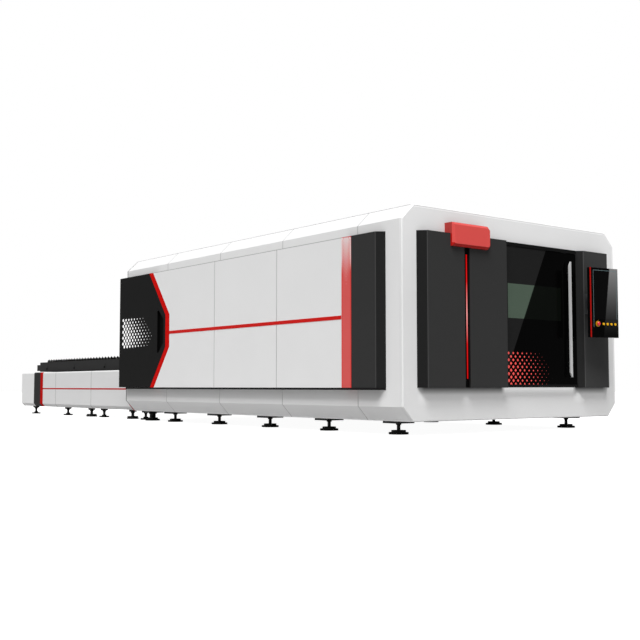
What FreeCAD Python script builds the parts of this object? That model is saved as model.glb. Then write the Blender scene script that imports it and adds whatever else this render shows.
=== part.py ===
"""Fiber laser cutting machine: a closed cabin over a gantry bed, with an exchange table behind it.

Millimetres.  While it is modelled, X = 0 is the front face of the cabin, +X points out of the
operator's door, Y = 0 is the centre plane and Z = 0 is the floor.  At the end everything is
moved along X, so that the origin is the middle of the footprint.
"""
import FreeCAD
import Part
import math
import os

V = FreeCAD.Vector

# ---------------------------------------------------------------- driving dimensions
# Sheet metal and gaps
sheet = 3.0
running_gap = 0.5
seat_gap = 0.3
fit_clearance = 0.05
panel_gap = 4.0
overshoot = 1.0

# Cabin shell: an eight-sided tunnel of folded cassettes between two end walls
cabin_length = 5580.0
cabin_width = 3260.0
cabin_height = 2200.0
cabin_underside = 135.0
roof_slope_width = 155.0
roof_slope_height = 150.0
skirt_slope_width = 131.0
skirt_slope_height = 140.0
cassette_depth = 40.0
rim_bevel = 9.0
frame_tube = 60.0
opening_drop = 48.0
first_seam = 642.0
seam_pitch = 1267.0
seam_count = 4
seam_width = 8.0
seam_depth = 2.0

# Raised covers on the long sides
cover_bottom = 455.0
cover_top_drop = 252.0
side_cover_depth = 80.0
corner_cover_start = 230.0
corner_bevel = 63.0
wall_flange = 30.0
band_start = 650.0
band_width = 150.0
chevron_nose = 4252.0
chevron_top = 4694.0
chevron_bottom = 4645.0
nose_top = 1379.0
nose_bottom = 968.0
chevron_width = 100.0
trim_line_height = 38.0
trim_line_centre = 1150.0
trim_line_proud = 2.0

# Service doors behind the chevrons
service_door_overhang = 50.0
service_hinge_offset = 60.0
service_pin_radius = 6.0
service_knuckle_radius = 12.0
service_knuckle_length = 60.0
service_ear_thickness = 10.0
service_pin_offset = 10.0
service_ear_reach = 11.0
service_leaf_thickness = 13.0
service_trim_gap = 1.0
service_wall_gap = 2.0
service_hinge_height_low = 650.0
service_hinge_top_drop = 248.0
service_opening_margin = 110.0
pull_depth = 30.0
pull_width = 170.0
pull_height = 544.0
pull_edge_height = 301.0
pull_top_width = 43.0
pull_setback = 50.0

# Front covers and operator's door
front_cover_depth = 80.0
front_cover_left = 1445.0
front_cover_right = 262.0
front_bevel = 75.0
slot_left = 874.0
slot_width = 76.0
slot_depth = 28.0
cover_return = 22.0
light_width = 22.0
light_offset = 8.0
light_thickness = 8.0
light_bottom = 542.0
light_top_drop = 188.0
pillar_left = 907.0
pillar_right = 1480.0
pillar_left_bevel = 86.0
door_overlap = 50.0
door_side_gap = 10.0
door_thickness = 32.0
door_wall_gap = 8.0
opening_inset = 45.0
door_bottom = 478.0
door_top_drop = 44.0
window_left = -206.0
window_width = 846.0
window_bottom = 1165.0
window_height = 356.0
window_thickness = 8.0
window_rebate = 20.0
track_height = 36.0
track_depth = 46.0
track_start = 1385.0
track_end_gap = 2.0
track_top_gap = 1.0
guide_bar_width = 12.0
guide_bar_height = 16.0
sill_lip_gap = 4.0
sill_lip_height = 28.0
hanger_length = 90.0
hanger_width = 28.0
hanger_inset = 150.0
hanger_gap = 2.0
handle_bottom = 565.0
handle_top_drop = 139.0
handle_left = 728.0
handle_width = 36.0
handle_thickness = 14.0
handle_standoff = 34.0
handle_taper = 48.0
handle_tip = 24.0
handle_post_radius = 9.0
handle_post_inset = 124.0
handle_post_seat = 2.0

# Bare block over the front covers
block_left = 1065.0
block_width = 540.0
block_drop = 124.0
block_rise = 108.0
block_reach = 120.0
block_bevel = 24.0
block_corner = 34.0

# Control panel on its swivel arm
panel_angle = 8.4
panel_width = 414.0
panel_bottom = 992.0
panel_top = 1742.0
panel_thickness = 45.0
panel_edge = 8.0
panel_front_x = 290.0
panel_front_y = 1054.0
panel_strip_width = 24.0
swivel_setback = 100.0
swivel_radius = 30.0
swivel_pin_radius = 15.0
swivel_height = 90.0
ear_thickness = 12.0
arm_plate_width = 140.0
arm_plate_height = 220.0
arm_plate_thickness = 10.0
arm_web_gap = 10.0
neck_width = 44.0
barrel_gap = 2.0
screen_gap = 17.0
screen_margin = 16.0
screen_thickness = 3.0
strip_thickness = 4.0
button_row_height = 1137.0
estop_y = -99.0
estop_radius = 20.0
estop_collar_radius = 31.0
estop_collar_height = 6.0
estop_stem_radius = 12.0
estop_stem_depth = 10.0
estop_head_height = 12.0
estop_head_bevel = 4.0
estop_travel = 5.0
button_first_y = -16.0
button_pitch = 57.0
button_count = 4
button_radius = 13.0
button_proud = 8.0
button_seat = 4.0
button_travel = 3.0
seat_floor_gap = 1.0

# Machine bed
bed_front_gap = 120.0
bed_rear_gap = 100.0
beam_inner = 1190.0
beam_width = 250.0
beam_top = 900.0
beam_wall = 16.0
wall_bracket = 80.0
wall_bracket_overlap = 25.0
wall_bracket_height = 30.0
cross_tube_width = 120.0
cross_tube_height = 100.0
web_window_length = 720.0
web_window_bottom = 320.0
web_window_top = 600.0
web_window_corner = 60.0
guide_y = 1400.0
guide_width = 35.0
guide_height = 40.0
rack_y = 1352.0
rack_width = 25.0
rack_height = 30.0
guide_end_gap = 10.0
guide_stop_gap = 200.0
track_leg = 100.0
track_stop = 20.0
track_stop_height = 40.0
track_stop_gap = 30.0
tray_count = 3
tray_height = 170.0
tray_gap = 40.0
tray_wall = 4.0

# Levelling feet
foot_first = 430.0
foot_pitch = 1095.0
foot_count = 5
foot_y = 1290.0
table_foot_y = 1205.0
foot_pad_radius = 98.0
foot_pad_height = 20.0
foot_ring_radius = 72.0
foot_ring_height = 40.0
small_pad_radius = 72.0
small_ring_radius = 34.0
heavy_pad_radius = 82.0
heavy_ring_radius = 76.0
foot_stem_radius = 18.0
foot_stem_seat = 24.0
foot_socket_gap = 2.0
foot_hex_margin = 6.0
foot_hex_height = 16.0
foot_plate = 220.0
foot_plate_thickness = 27.0
rear_foot = 5437.0
rear_stem_scale = 2.3
heavy_stem_scale = 1.15
table_foot_plate = 80.0

# Gantry
gantry_rear_margin = 400.0
gantry_travel = 4000.0
gantry_width = 240.0
gantry_bottom = 1010.0
gantry_height = 280.0
gantry_wall = 12.0
saddle_length = 420.0
saddle_inner = 1280.0
saddle_thickness = 30.0
saddle_cheek = 12.0
beam_overhang = 40.0
bearing_length = 110.0
bearing_spread = 280.0
bearing_width = 66.0
bearing_lift = 15.0
motor_size = 80.0
gearbox_size = 88.0
gearbox_height = 100.0
motor_height = 160.0
motor_bevel = 10.0
drive_shaft_radius = 12.0
drive_shaft_clearance = 2.0
pinion_radius = 25.0
y_guide_size = 25.0
y_guide_low = 1050.0
y_guide_high = 1250.0
y_guide_end = 100.0
y_rack_height = 20.0
y_rack_depth = 18.0

# Carriage, Z slide and cutting head
carriage_home = -1000.0
carriage_travel = 2000.0
carriage_width = 320.0
carriage_thickness = 25.0
carriage_top = 1330.0
carriage_standoff = 20.0
y_block_inset = 45.0
y_block_length = 80.0
y_block_height = 56.0
y_block_gap = 6.0
y_pinion_radius = 20.0
y_pinion_width = 16.0
y_shaft_radius = 10.0
y_drive_offset = 105.0
y_motor_size = 70.0
y_motor_length = 130.0
z_motor_size = 60.0
z_motor_inset = 2.5
head_offset = 40.0
z_travel = 120.0
z_plate_width = 150.0
z_plate_thickness = 22.0
z_plate_bottom = 1110.0
z_plate_height = 330.0
z_rail_width = 20.0
z_rail_depth = 15.0
z_rail_inset = 20.0
z_rail_end_gap = 10.0
z_shoe_wall = 9.0
z_shoe_length = 190.0
z_shoe_overlap = 7.0
head_radius = 42.0
head_tip_radius = 16.0
head_cone_radius = 24.0
head_cone_height = 30.0
head_neck_radius = 30.0
head_collar_height = 44.0
head_body_bottom = 60.0
head_body_top = 250.0
head_neck_bottom = 270.0
head_neck_top = 330.0
head_plug_bottom = 340.0
head_height = 380.0
clamp_width = 68.0
clamp_height = 130.0
clamp_reach = 12.0
clamp_overlap = 8.0
clamp_lift = 155.0
nozzle_tip = 1040.0
nozzle_length = 26.0
nozzle_radius = 12.0
nozzle_bore = 1.2

# Exchange table
table_length = 4620.0
table_width = 2600.0
table_top = 705.0
table_underside = 130.0
table_skirt_height = 48.0
table_skirt_width = 45.0
table_top_bevel = 18.0
table_flange = 70.0
end_cover_length = 544.0
end_band_black = 276.0
end_band_red = 110.0
table_seam_from_end = 1460.0
table_seam_from_cabin = 1815.0
table_seam_half = 2.0
table_beam_width = 100.0
table_beam_height = 100.0
table_beam_outer = 1250.0
end_gap = 20.0
tube_step = 20.0
column_size = 60.0
column_depth = 28.0
columns_from_end = (120.0, 820.0, 1195.0)
columns_from_cabin = (2500.0, 1240.0, 160.0)
notch_margin = 12.0
feet_from_end = (430.0, 1760.0)
feet_from_cabin = (1540.0, 215.0)
lift_foot_stations = (1980.0, 610.0)

# Lift with its two decks
deck_pitch = 270.0
deck_thickness = 8.0
deck_inner = 1050.0
lift_web_inner = 1156.0
lift_web_thickness = 12.0
lift_web_rise = 10.0
lift_web_drop = 30.0
lift_bar_width = 40.0
lift_bar_height = 20.0
lift_bar_insets = (20.0, 60.0)
lift_lug_length = 60.0
lift_lug_reach = 16.0
lift_lug_thickness = 20.0
lift_lug_drop = 20.0
lift_front_gap = 12.0
lift_rear_gap = 80.0
ram_radius = 22.0
ram_rod_radius = 14.0
ram_engagement = 60.0
ram_head_gap = 25.0
ram_end_gap = 2.0
ram_y = 1200.0
ram_from_end = 1020.0
ram_from_cabin = 700.0

# Drive of the pallet exchange
exchange_shaft_height = 470.0
exchange_shaft_radius = 18.0
sprocket_y = 900.0
sprocket_radius = 50.0
sprocket_thickness = 14.0
gearbox_body = 150.0

# Pallets
pallet_end_gap = 430.0
pallet_front_gap = 40.0
pallet_half_width = 1150.0
pallet_bottom = 720.0
pallet_top = 880.0
pallet_rail_width = 50.0
end_rail_drop = 40.0
hook_length = 130.0
hook_width = 50.0
hook_bottom = 735.0
hook_top = 837.0
axle_lift = 15.0
pallet_travel = 4790.0
rib_y = 370.0
rib_width = 30.0
ledge_width = 20.0
ledge_thickness = 5.0
guide_pad_stations = (314.0, 1408.0, 2521.0, 3620.0)
guide_pad_size = 40.0
guide_pad_thickness = 5.0
cross_rail = 50.0
cross_rail_count = 5
slat_pitch = 105.0
slat_thickness = 6.0
slat_tip = 914.0
slat_seat = 776.0
slat_teeth = 18
tooth_depth = 60.0
slat_rear_margin = 110.0
slat_front_margin = 100.0
slat_end_gap = 2.0
wheel_radius = 35.0
wheel_width = 30.0
wheel_axle_radius = 10.0
axle_cover = 10.0
axle_end_gap = 2.0
wheel_rail_gap = 130.0

# ---------------------------------------------------------------- worked out from them
side_y = cabin_width / 2
cover_top = cabin_height - cover_top_drop
service_hinge_height_high = cover_top - service_hinge_top_drop
light_top = cover_top - light_top_drop
door_top = cover_top - door_top_drop
handle_top = cover_top - handle_top_drop
block_bottom = cover_top - block_drop
block_top = cover_top + block_rise
screen_bottom = button_row_height + estop_collar_radius + screen_gap
gantry_home = cabin_length - gantry_rear_margin
table_seams = (table_length - table_seam_from_end, table_seam_from_cabin)
column_stations = [table_length - s for s in columns_from_end] + list(columns_from_cabin)
table_foot_stations = [table_length - s for s in feet_from_end] + list(feet_from_cabin)
pallet_rear = table_length - pallet_end_gap
pallet_length = pallet_rear - pallet_front_gap
lift_rear = pallet_rear - lift_rear_gap
ram_stations = (table_length - ram_from_end, ram_from_cabin)
cross_pitch = pallet_length / (cross_rail_count + 1)
wheel_inset = cross_pitch - wheel_rail_gap
wheel_stations = (wheel_inset, pallet_length - wheel_inset)
slat_count = int((pallet_length - slat_rear_margin - slat_front_margin) / slat_pitch) + 1
rear_x = -cabin_length
cover_face = side_y + side_cover_depth
beam_outer = beam_inner + beam_width
bed_front = -bed_front_gap
bed_rear = rear_x + bed_rear_gap
wheel_z = pallet_bottom + axle_lift
deck_top = wheel_z - wheel_radius - seat_gap
table_side = table_width / 2
table_rear = rear_x - table_length
front_cover_face = front_cover_depth
door_left = -front_cover_right - door_overlap
door_right = pillar_left - door_side_gap
door_face = door_wall_gap + door_thickness
track_top = cover_top - sheet - track_top_gap
guide_bar_x = door_wall_gap + door_thickness / 2
beam_face = -gantry_home + gantry_width / 2
head_y = carriage_home - head_offset
gantry_end = beam_outer + beam_overhang
y_guide_half = carriage_travel / 2 + carriage_width / 2 + y_guide_end
carriage_bottom = z_plate_bottom - z_travel + z_rail_end_gap
guide_front = -gantry_home + gantry_travel + saddle_length / 2 + guide_stop_gap
ram_stroke = deck_pitch + ram_engagement
hinge_x = rear_x - service_hinge_offset
hinge_y = -side_y - service_pin_offset
shell_foot = side_y - skirt_slope_width


# ---------------------------------------------------------------- shape helpers
def prism(points, axis, start, end):
    """Extrude a closed outline along an axis; its points are the two other axes in X, Y, Z order."""
    if axis == "X":
        corners = [V(start, a, b) for a, b in points]
        path = V(end - start, 0, 0)
    elif axis == "Y":
        corners = [V(a, start, b) for a, b in points]
        path = V(0, end - start, 0)
    else:
        corners = [V(a, b, start) for a, b in points]
        path = V(0, 0, end - start)
    face = Part.Face(Part.makePolygon(corners + corners[:1]))
    return face.extrude(path)


def box(x, y, z):
    """A block between the given ranges."""
    low = V(min(x), min(y), min(z))
    return Part.makeBox(abs(x[1] - x[0]), abs(y[1] - y[0]), abs(z[1] - z[0]), low)


def span(middle, width):
    """The range of a given width about its middle."""
    return (middle - width / 2, middle + width / 2)


def rod(base, radius, length, direction=(0, 0, 1)):
    """A round bar from the middle of its base."""
    return Part.makeCylinder(radius, length, V(*base), V(*direction))


def turned(profile, x, y):
    """Turn a closed (radius, height) profile about a vertical line."""
    corners = [V(x + radius, y, height) for radius, height in profile]
    face = Part.Face(Part.makePolygon(corners + corners[:1]))
    return face.revolve(V(x, y, 0), V(0, 0, 1), 360)


def fuse(*shapes):
    """Join touching shapes into one solid with merged faces."""
    return shapes[0].multiFuse(list(shapes[1:])).removeSplitter()


def mirrored(shape):
    """The same piece on the other side of the machine."""
    return shape.mirror(V(0, 0, 0), V(0, 1, 0))


def both_sides(*shapes):
    """A group of pieces with their mirror images."""
    return Part.makeCompound(list(shapes) + [mirrored(shape) for shape in shapes])


def meet(p, q, r, s):
    """Where the line through p and q meets the line through r and s."""
    ax, ay = q[0] - p[0], q[1] - p[1]
    bx, by = s[0] - r[0], s[1] - r[1]
    turn = ax * by - ay * bx
    along = ((r[0] - p[0]) * by - (r[1] - p[1]) * bx) / turn
    return (p[0] + along * ax, p[1] + along * ay)


def shifted(p, q, distance):
    """The segment from p to q moved to its right by a distance."""
    length = math.hypot(q[0] - p[0], q[1] - p[1])
    right = ((q[1] - p[1]) / length * distance, (p[0] - q[0]) / length * distance)
    return (p[0] + right[0], p[1] + right[1]), (q[0] + right[0], q[1] + right[1])


def inset(points, distance, last_edge=None):
    """Move each edge of a clockwise outline inwards; the closing edge may keep its own distance."""
    edges = []
    for index, point in enumerate(points):
        following = points[(index + 1) % len(points)]
        closing = index == len(points) - 1 and last_edge is not None
        edges.append(shifted(point, following, last_edge if closing else distance))
    return [meet(*edges[index - 1], *edges[index]) for index in range(len(edges))]


def folded(points, thickness):
    """The outline of a folded sheet whose outer side follows an open line, with metal on its right."""
    runs = [shifted(p, q, thickness) for p, q in zip(points, points[1:])]
    inner = [runs[0][0]]
    inner += [meet(*before, *after) for before, after in zip(runs, runs[1:])]
    inner.append(runs[-1][1])
    return points + inner[::-1]


def pan(outline, axis, face, back, thickness=sheet):
    """A tray: a skin at face with its walls turned back; the clockwise outline is its outer edge."""
    inner = face + math.copysign(thickness, back - face)
    return prism(outline, axis, face, back).cut(prism(inset(outline, thickness), axis, inner, back))


def rectangle(left, right, bottom, top):
    """A clockwise rectangle."""
    return [(left, bottom), (left, top), (right, top), (right, bottom)]


# ---------------------------------------------------------------- cabin shell
def cabin_outline():
    """The eight corners of the cabin's section in Y and Z, clockwise from the lower left."""
    left = [
        (-(side_y - skirt_slope_width), cabin_underside),
        (-side_y, cabin_underside + skirt_slope_height),
        (-side_y, cabin_height - roof_slope_height),
        (-(side_y - roof_slope_width), cabin_height),
    ]
    return left + [(-y, z) for y, z in left[::-1]]


def shell_band(corners, outside, inside):
    """The stretch of the cabin's section between two depths, along the named corners."""
    outer = inset(cabin_outline(), outside, 0.0)
    inner = inset(cabin_outline(), inside, 0.0)
    return [outer[k] for k in corners] + [inner[k] for k in reversed(corners)]


def cassette(corners, front, rear, grooved_front, grooved_rear):
    """One folded section of the shell, with a deep flange at each end and a groove at each seam."""
    skin_front = front - (seam_width / 2 if grooved_front else 0.0)
    skin_rear = rear + (seam_width / 2 if grooved_rear else 0.0)
    flange = shell_band(corners, seam_depth, cassette_depth)
    flange_width = seam_width / 2 + sheet
    return fuse(
        prism(shell_band(corners, 0.0, sheet), "X", skin_rear, skin_front),
        prism(flange, "X", front - flange_width, front),
        prism(flange, "X", rear, rear + flange_width),
    )


def section_ends():
    """Front and rear of each section between the two end walls."""
    seams = [-(first_seam + k * seam_pitch) for k in range(seam_count)]
    return list(zip([-cassette_depth] + seams, seams + [rear_x + cassette_depth]))


def service_opening():
    """Rear, front, lower and upper edge of the way in behind a service door."""
    rear = rear_x + service_opening_margin
    front = -(first_seam + (seam_count - 1) * seam_pitch) - service_opening_margin
    return rear, front, cover_bottom + service_opening_margin, cover_top - service_opening_margin


def wall_panel(index):
    """One left wall cassette; it stands on a ledge along the bed's brackets."""
    ends = section_ends()
    front, rear = ends[index]
    ledge_edge = inset(cabin_outline(), cassette_depth, 0.0)[0][0]
    ledge_z = (cabin_underside, cabin_underside + sheet)
    panel = cassette([0, 1, 2], front, rear, index > 0, index < len(ends) - 1)
    return fuse(panel, box((rear, front), (-shell_foot, ledge_edge), ledge_z))


def wall_panels():
    """Left and right wall cassettes ahead of the service doors."""
    return both_sides(*[wall_panel(index) for index in range(seam_count)])


def service_wall_panel():
    """The last left wall section, as the sill, header and two posts round its way in."""
    front, rear = section_ends()[seam_count]
    opening_rear, opening_front, low, high = service_opening()
    rear_post = (rear - overshoot, opening_rear)
    front_post = (opening_front, front + overshoot)
    whole_length = (rear_post[0], front_post[1])
    stretches = [
        (whole_length, (0.0, low)),
        (whole_length, (high, cabin_height)),
        (rear_post, (low, high)),
        (front_post, (low, high)),
    ]
    panel = wall_panel(seam_count)
    width = (-side_y - overshoot, 0.0)
    return [panel.common(box(length, width, height)) for length, height in stretches]


def service_wall_panels():
    """The last wall sections, each with the way in behind its service door."""
    return both_sides(*service_wall_panel())


def roof_panels():
    """Roof cassettes with the upper slopes, on the same seams as the walls."""
    ends = section_ends()
    last = len(ends) - 1
    return Part.makeCompound([
        cassette([2, 3, 4, 5], front, rear, index > 0, index < last)
        for index, (front, rear) in enumerate(ends)
    ])


def end_plate(face, back, opening):
    """An end wall: a skin on a tube frame, with the frame carried round its opening."""
    outline = cabin_outline()
    inner = face + math.copysign(sheet, back - face)
    plate = prism(outline, "X", face, back)
    rim = [edge for edge in plate.Edges if all(abs(v.X - face) < 0.01 for v in edge.Vertexes)]
    plate = plate.makeChamfer(rim_bevel, rim)
    pocket = prism(inset(outline, frame_tube), "X", inner, back)
    left, right, bottom, top = opening
    tube = frame_tube
    surround = box((face, back), (left - tube, right + tube), (bottom - tube, top + tube))
    through = box((face - cassette_depth, face + cassette_depth), (left, right), (bottom, top))
    return plate.cut(pocket.cut(surround)).cut(through)


def door_opening():
    """Left, right, bottom and top of the operator's opening, inside the closed door's edges."""
    return (
        door_left + opening_inset,
        door_right - opening_inset,
        door_bottom + opening_inset / 2,
        door_top - opening_inset / 2,
    )


def pallet_opening():
    """Left, right, bottom and top of the way in for the pallets."""
    half = beam_inner + frame_tube / 2
    return (-half, half, deck_top - opening_drop, gantry_bottom)


def hinge_heights():
    """Where the two knuckles of a service door begin."""
    return (service_hinge_height_low, service_hinge_height_high)


def hinge_ears():
    """Two ears with upright pins at the rear corner of the cabin, on the left side."""
    tip = hinge_x - service_ear_reach
    root = -side_y + wall_flange
    ear = [
        (rear_x, root),
        (rear_x, -side_y),
        (hinge_x + service_ear_reach / 2, -side_y),
        (hinge_x, hinge_y),
        (tip, hinge_y),
        (tip, root),
    ]
    boss = service_hinge_offset - service_door_overhang - running_gap
    pieces = []
    for height in hinge_heights():
        base = (hinge_x, hinge_y, height - service_ear_thickness)
        pieces.append(prism(ear, "Z", base[2], height))
        pieces.append(rod(base, boss, service_ear_thickness))
        pieces.append(rod(base, service_pin_radius, service_knuckle_length))
    return pieces


def rear_wall():
    plate = end_plate(rear_x, rear_x + cassette_depth, pallet_opening())
    ears = hinge_ears()
    return fuse(plate, *ears, *[mirrored(ear) for ear in ears])


# ---------------------------------------------------------------- raised covers on the sides
def side_pan(outline):
    """A raised cover on the left side from its outline in X and Z."""
    return pan(outline, "Y", -cover_face, -side_y)


def corner_cover():
    """The dark cover at the front corner, with its front edge bevelled back to the wall."""
    start = -corner_cover_start
    edge = start - corner_bevel
    rear = -band_start + panel_gap / 2
    lid = [(start, -side_y), (edge, -cover_face), (rear, -cover_face), (rear, -side_y)]
    line = [(start - wall_flange, -side_y)] + lid
    return fuse(
        prism(folded(line, sheet), "Z", cover_bottom, cover_top),
        prism(lid, "Z", cover_bottom, cover_bottom + sheet),
        prism(lid, "Z", cover_top - sheet, cover_top),
    )


def red_band():
    """The upright red cover between the corner cover and the white ones."""
    left = -(band_start + band_width) + panel_gap / 2
    return side_pan(rectangle(left, -band_start - panel_gap / 2, cover_bottom, cover_top))


def chevron(setback):
    """The chevron's line from top to bottom, moved rearwards by a setback."""
    return [
        (-chevron_top - setback, cover_top),
        (-chevron_nose - setback, nose_top),
        (-chevron_nose - setback, nose_bottom),
        (-chevron_bottom - setback, cover_bottom),
    ]


def side_panels():
    """Three white covers, split at the cabin's seams; the last one ends at the chevron."""
    seams = [first_seam + k * seam_pitch for k in (1, 2)]
    edges = [band_start + band_width] + seams
    panels = []
    for start, end in zip(edges, edges[1:]):
        outline = rectangle(-end + panel_gap / 2, -start - panel_gap / 2, cover_bottom, cover_top)
        panels.append(side_pan(outline))
    front = -edges[-1] - panel_gap / 2
    last = chevron(-panel_gap)[::-1] + [(front, cover_top), (front, cover_bottom)]
    panels.append(side_pan(last))
    return both_sides(*panels)


def trim_line():
    """The thin red line along the white covers."""
    rear = -chevron_nose + panel_gap
    front = -(band_start + band_width) - panel_gap / 2
    y = (-cover_face - trim_line_proud, -cover_face)
    return box((rear, front), y, span(trim_line_centre, trim_line_height))


def chevron_trim():
    """The red cover bent round the chevron's nose."""
    outline = chevron(chevron_width)[::-1] + chevron(0.0)
    return side_pan(outline)


# ---------------------------------------------------------------- service doors
def pull_outline():
    """The finger pull beside the chevron, from its rear edge round to the slanted front edge."""
    front = -chevron_nose - chevron_width - pull_setback
    rear = front - pull_width
    middle = (nose_top + nose_bottom) / 2
    low, high = middle - pull_height / 2, middle + pull_height / 2
    low_edge, high_edge = middle - pull_edge_height / 2, middle + pull_edge_height / 2
    return [
        (rear, low),
        (rear, high),
        (rear + pull_top_width, high),
        (front, high_edge),
        (front, low_edge),
        (rear + pull_top_width, low),
    ]


def service_door():
    """The dark door behind the chevron, hinged at the rear corner, with its sunk pull."""
    rear = rear_x - service_door_overhang
    low, high = cover_bottom + service_trim_gap, cover_top - service_trim_gap
    front = [(x, min(max(z, low), high)) for x, z in chevron(chevron_width + panel_gap)]
    outline = [(rear, low), (rear, high)] + front
    door = pan(outline, "Y", -cover_face, -side_y - service_wall_gap)
    pull = pull_outline()
    floor = -cover_face + pull_depth
    cup = prism(inset(pull, -sheet), "Y", -cover_face, floor + sheet)
    door = fuse(door, cup).cut(prism(pull, "Y", -cover_face - overshoot, floor))
    length = service_knuckle_length
    knuckles = []
    for height in hinge_heights():
        base = height + seat_gap
        leaf_y = (hinge_y - service_knuckle_radius, hinge_y - service_knuckle_radius + service_leaf_thickness)
        knuckles.append(rod((hinge_x, hinge_y, base), service_knuckle_radius, length))
        knuckles.append(box((hinge_x, rear + sheet), leaf_y, (base, base + length)))
    door = fuse(door, *knuckles)
    for height in hinge_heights():
        bore = service_pin_radius + fit_clearance
        door = door.cut(rod((hinge_x, hinge_y, height), bore, length + 2.0 * seat_gap))
    return door


# ---------------------------------------------------------------- front covers and lights
def front_cover(line, lid):
    """An upright cover on the front wall, folded along a line in X and Y and closed by two lids."""
    return fuse(
        prism(folded(line, sheet), "Z", cover_bottom, cover_top),
        prism(lid, "Z", cover_bottom, cover_bottom + sheet),
        prism(lid, "Z", cover_top - sheet, cover_top),
    )


def front_cover_outer():
    """Left half of the door's pocket, with the channel of the upright slot."""
    face = front_cover_face
    wall = -front_cover_left
    slot = -slot_left
    channel = slot + slot_width - seat_gap
    lid = [(0.0, wall), (face, wall + front_bevel), (face, slot), (0.0, slot)]
    line = [(0.0, wall + wall_flange)] + lid[:3] + [(face - slot_depth, slot), (face - slot_depth, channel)]
    return front_cover(line[::-1], lid)


def front_cover_inner():
    """Right half of the door's pocket, open at its end for the door."""
    face = front_cover_face
    left = -slot_left + slot_width
    right = -front_cover_right
    lid = [(0.0, left), (face, left), (face, right), (0.0, right)]
    line = [(face - slot_depth - sheet, left), (face, left), (face, right), (face - cover_return, right)]
    return front_cover(line[::-1], lid)


def front_pillar():
    """The cover on the right of the door, which carries the control panel."""
    face = front_cover_face
    left = pillar_left
    right = pillar_right
    lid = [(0.0, left), (face, left + pillar_left_bevel), (face, right - front_bevel), (0.0, right)]
    line = [(0.0, left + wall_flange)] + lid + [(0.0, right - wall_flange)]
    return front_cover(line[::-1], lid)


def status_light():
    """The light strip in the slot."""
    centre = -slot_left + slot_width / 2 + light_offset
    back = front_cover_face - slot_depth
    return box((back, back + light_thickness), span(centre, light_width), (light_bottom, light_top))


def sign_block():
    """A bare bevelled block that straddles the top edge of the front covers."""
    left, right = -block_left, -block_left + block_width
    corner = block_corner
    outline = [
        (left, block_bottom),
        (left, block_top),
        (right - corner, block_top),
        (right, block_top - corner),
        (right, block_bottom + corner),
        (right - corner, block_bottom),
    ]
    block = prism(outline, "X", 0.0, block_reach)
    rim = [edge for edge in block.Edges if all(abs(v.X - block_reach) < 0.01 for v in edge.Vertexes)]
    block = block.makeChamfer(block_bevel, rim)
    covers = box(
        (-overshoot, front_cover_face),
        (left - overshoot, right + overshoot),
        (block_bottom - overshoot, cover_top),
    )
    return block.cut(covers)


# ---------------------------------------------------------------- operator's door
def door_track():
    """The header channel over the door, with the guide bar that the door hangs on."""
    low = track_top - track_height
    y = (-track_start, pillar_left - track_end_gap)
    line = [(0.0, low), (0.0, track_top), (track_depth, track_top), (track_depth, low)]
    bar_top = track_top - sheet
    bar = box(span(guide_bar_x, guide_bar_width), y, (bar_top - guide_bar_height, bar_top))
    return fuse(prism(folded(line, sheet), "Y", *y), bar)


def door_sill():
    """The lower guide channel in front of the door's lower edge."""
    base = cover_bottom + sheet + track_top_gap
    lip = door_face + sill_lip_gap + sheet
    top = base + sill_lip_height
    line = [(0.0, top), (0.0, base), (lip, base), (lip, top)]
    return prism(folded(line[::-1], sheet), "Y", -track_start, pillar_left - track_end_gap)


def door_leaf():
    """The sliding door: a deep tray with a rebate for its window."""
    outline = rectangle(door_left, door_right, door_bottom, door_top)
    leaf = pan(outline, "X", door_face, door_wall_gap)
    left, right = window_left, window_left + window_width
    low, high = window_bottom, window_bottom + window_height
    edge = window_rebate
    seat = door_face - window_thickness
    surround = box((seat - sheet, door_face), (left - edge, right + edge), (low - edge, high + edge))
    rebate = box((seat, door_face + overshoot), (left, right), (low, high))
    light = box((0.0, door_face + overshoot), (left + edge, right - edge), (low + edge, high - edge))
    return fuse(leaf, surround).cut(rebate).cut(light)


def door_window():
    """The laser-safe pane in the door's rebate."""
    y = (window_left + seat_gap, window_left + window_width - seat_gap)
    z = (window_bottom + seat_gap, window_bottom + window_height - seat_gap)
    return box((door_face - window_thickness, door_face), y, z)


def door_handle():
    """A flat upright bar with tapered ends on two posts."""
    left, right = handle_left, handle_left + handle_width
    back = door_face + handle_standoff
    outline = [
        (left, handle_bottom + handle_taper),
        (left, handle_top - handle_taper),
        (left + handle_tip, handle_top),
        (right, handle_top),
        (right, handle_bottom),
        (left + handle_tip, handle_bottom),
    ]
    pieces = [prism(outline, "X", back, back + handle_thickness)]
    middle = (left + right) / 2
    for height in (handle_bottom + handle_post_inset, handle_top - handle_post_inset):
        post_length = handle_standoff + handle_post_seat
        pieces.append(rod((door_face, middle, height), handle_post_radius, post_length, (1, 0, 0)))
    return fuse(*pieces)


def door_hangers():
    """Two sliding shoes on the door's top edge that ride on the header's guide bar."""
    bar_top = track_top - sheet
    slot_width = guide_bar_width + 2.0 * running_gap
    shoes = []
    for y in (door_left + hanger_inset, door_right - hanger_inset - hanger_length):
        block = box(span(guide_bar_x, hanger_width), (y, y + hanger_length), (door_top, bar_top - hanger_gap))
        slot_z = (bar_top - guide_bar_height - running_gap, bar_top)
        slot_y = (y - overshoot, y + hanger_length + overshoot)
        slot = box(span(guide_bar_x, slot_width), slot_y, slot_z)
        shoes.append(block.cut(slot))
    return Part.makeCompound(shoes)


# ---------------------------------------------------------------- control panel
def on_panel(shape):
    """Place a piece that was modelled with the panel's front face at X = 0 and its middle at Y = 0."""
    placed = shape.copy()
    placed.rotate(V(0, 0, 0), V(0, 0, 1), -panel_angle)
    placed.translate(V(panel_front_x, panel_front_y, 0))
    return placed


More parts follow.
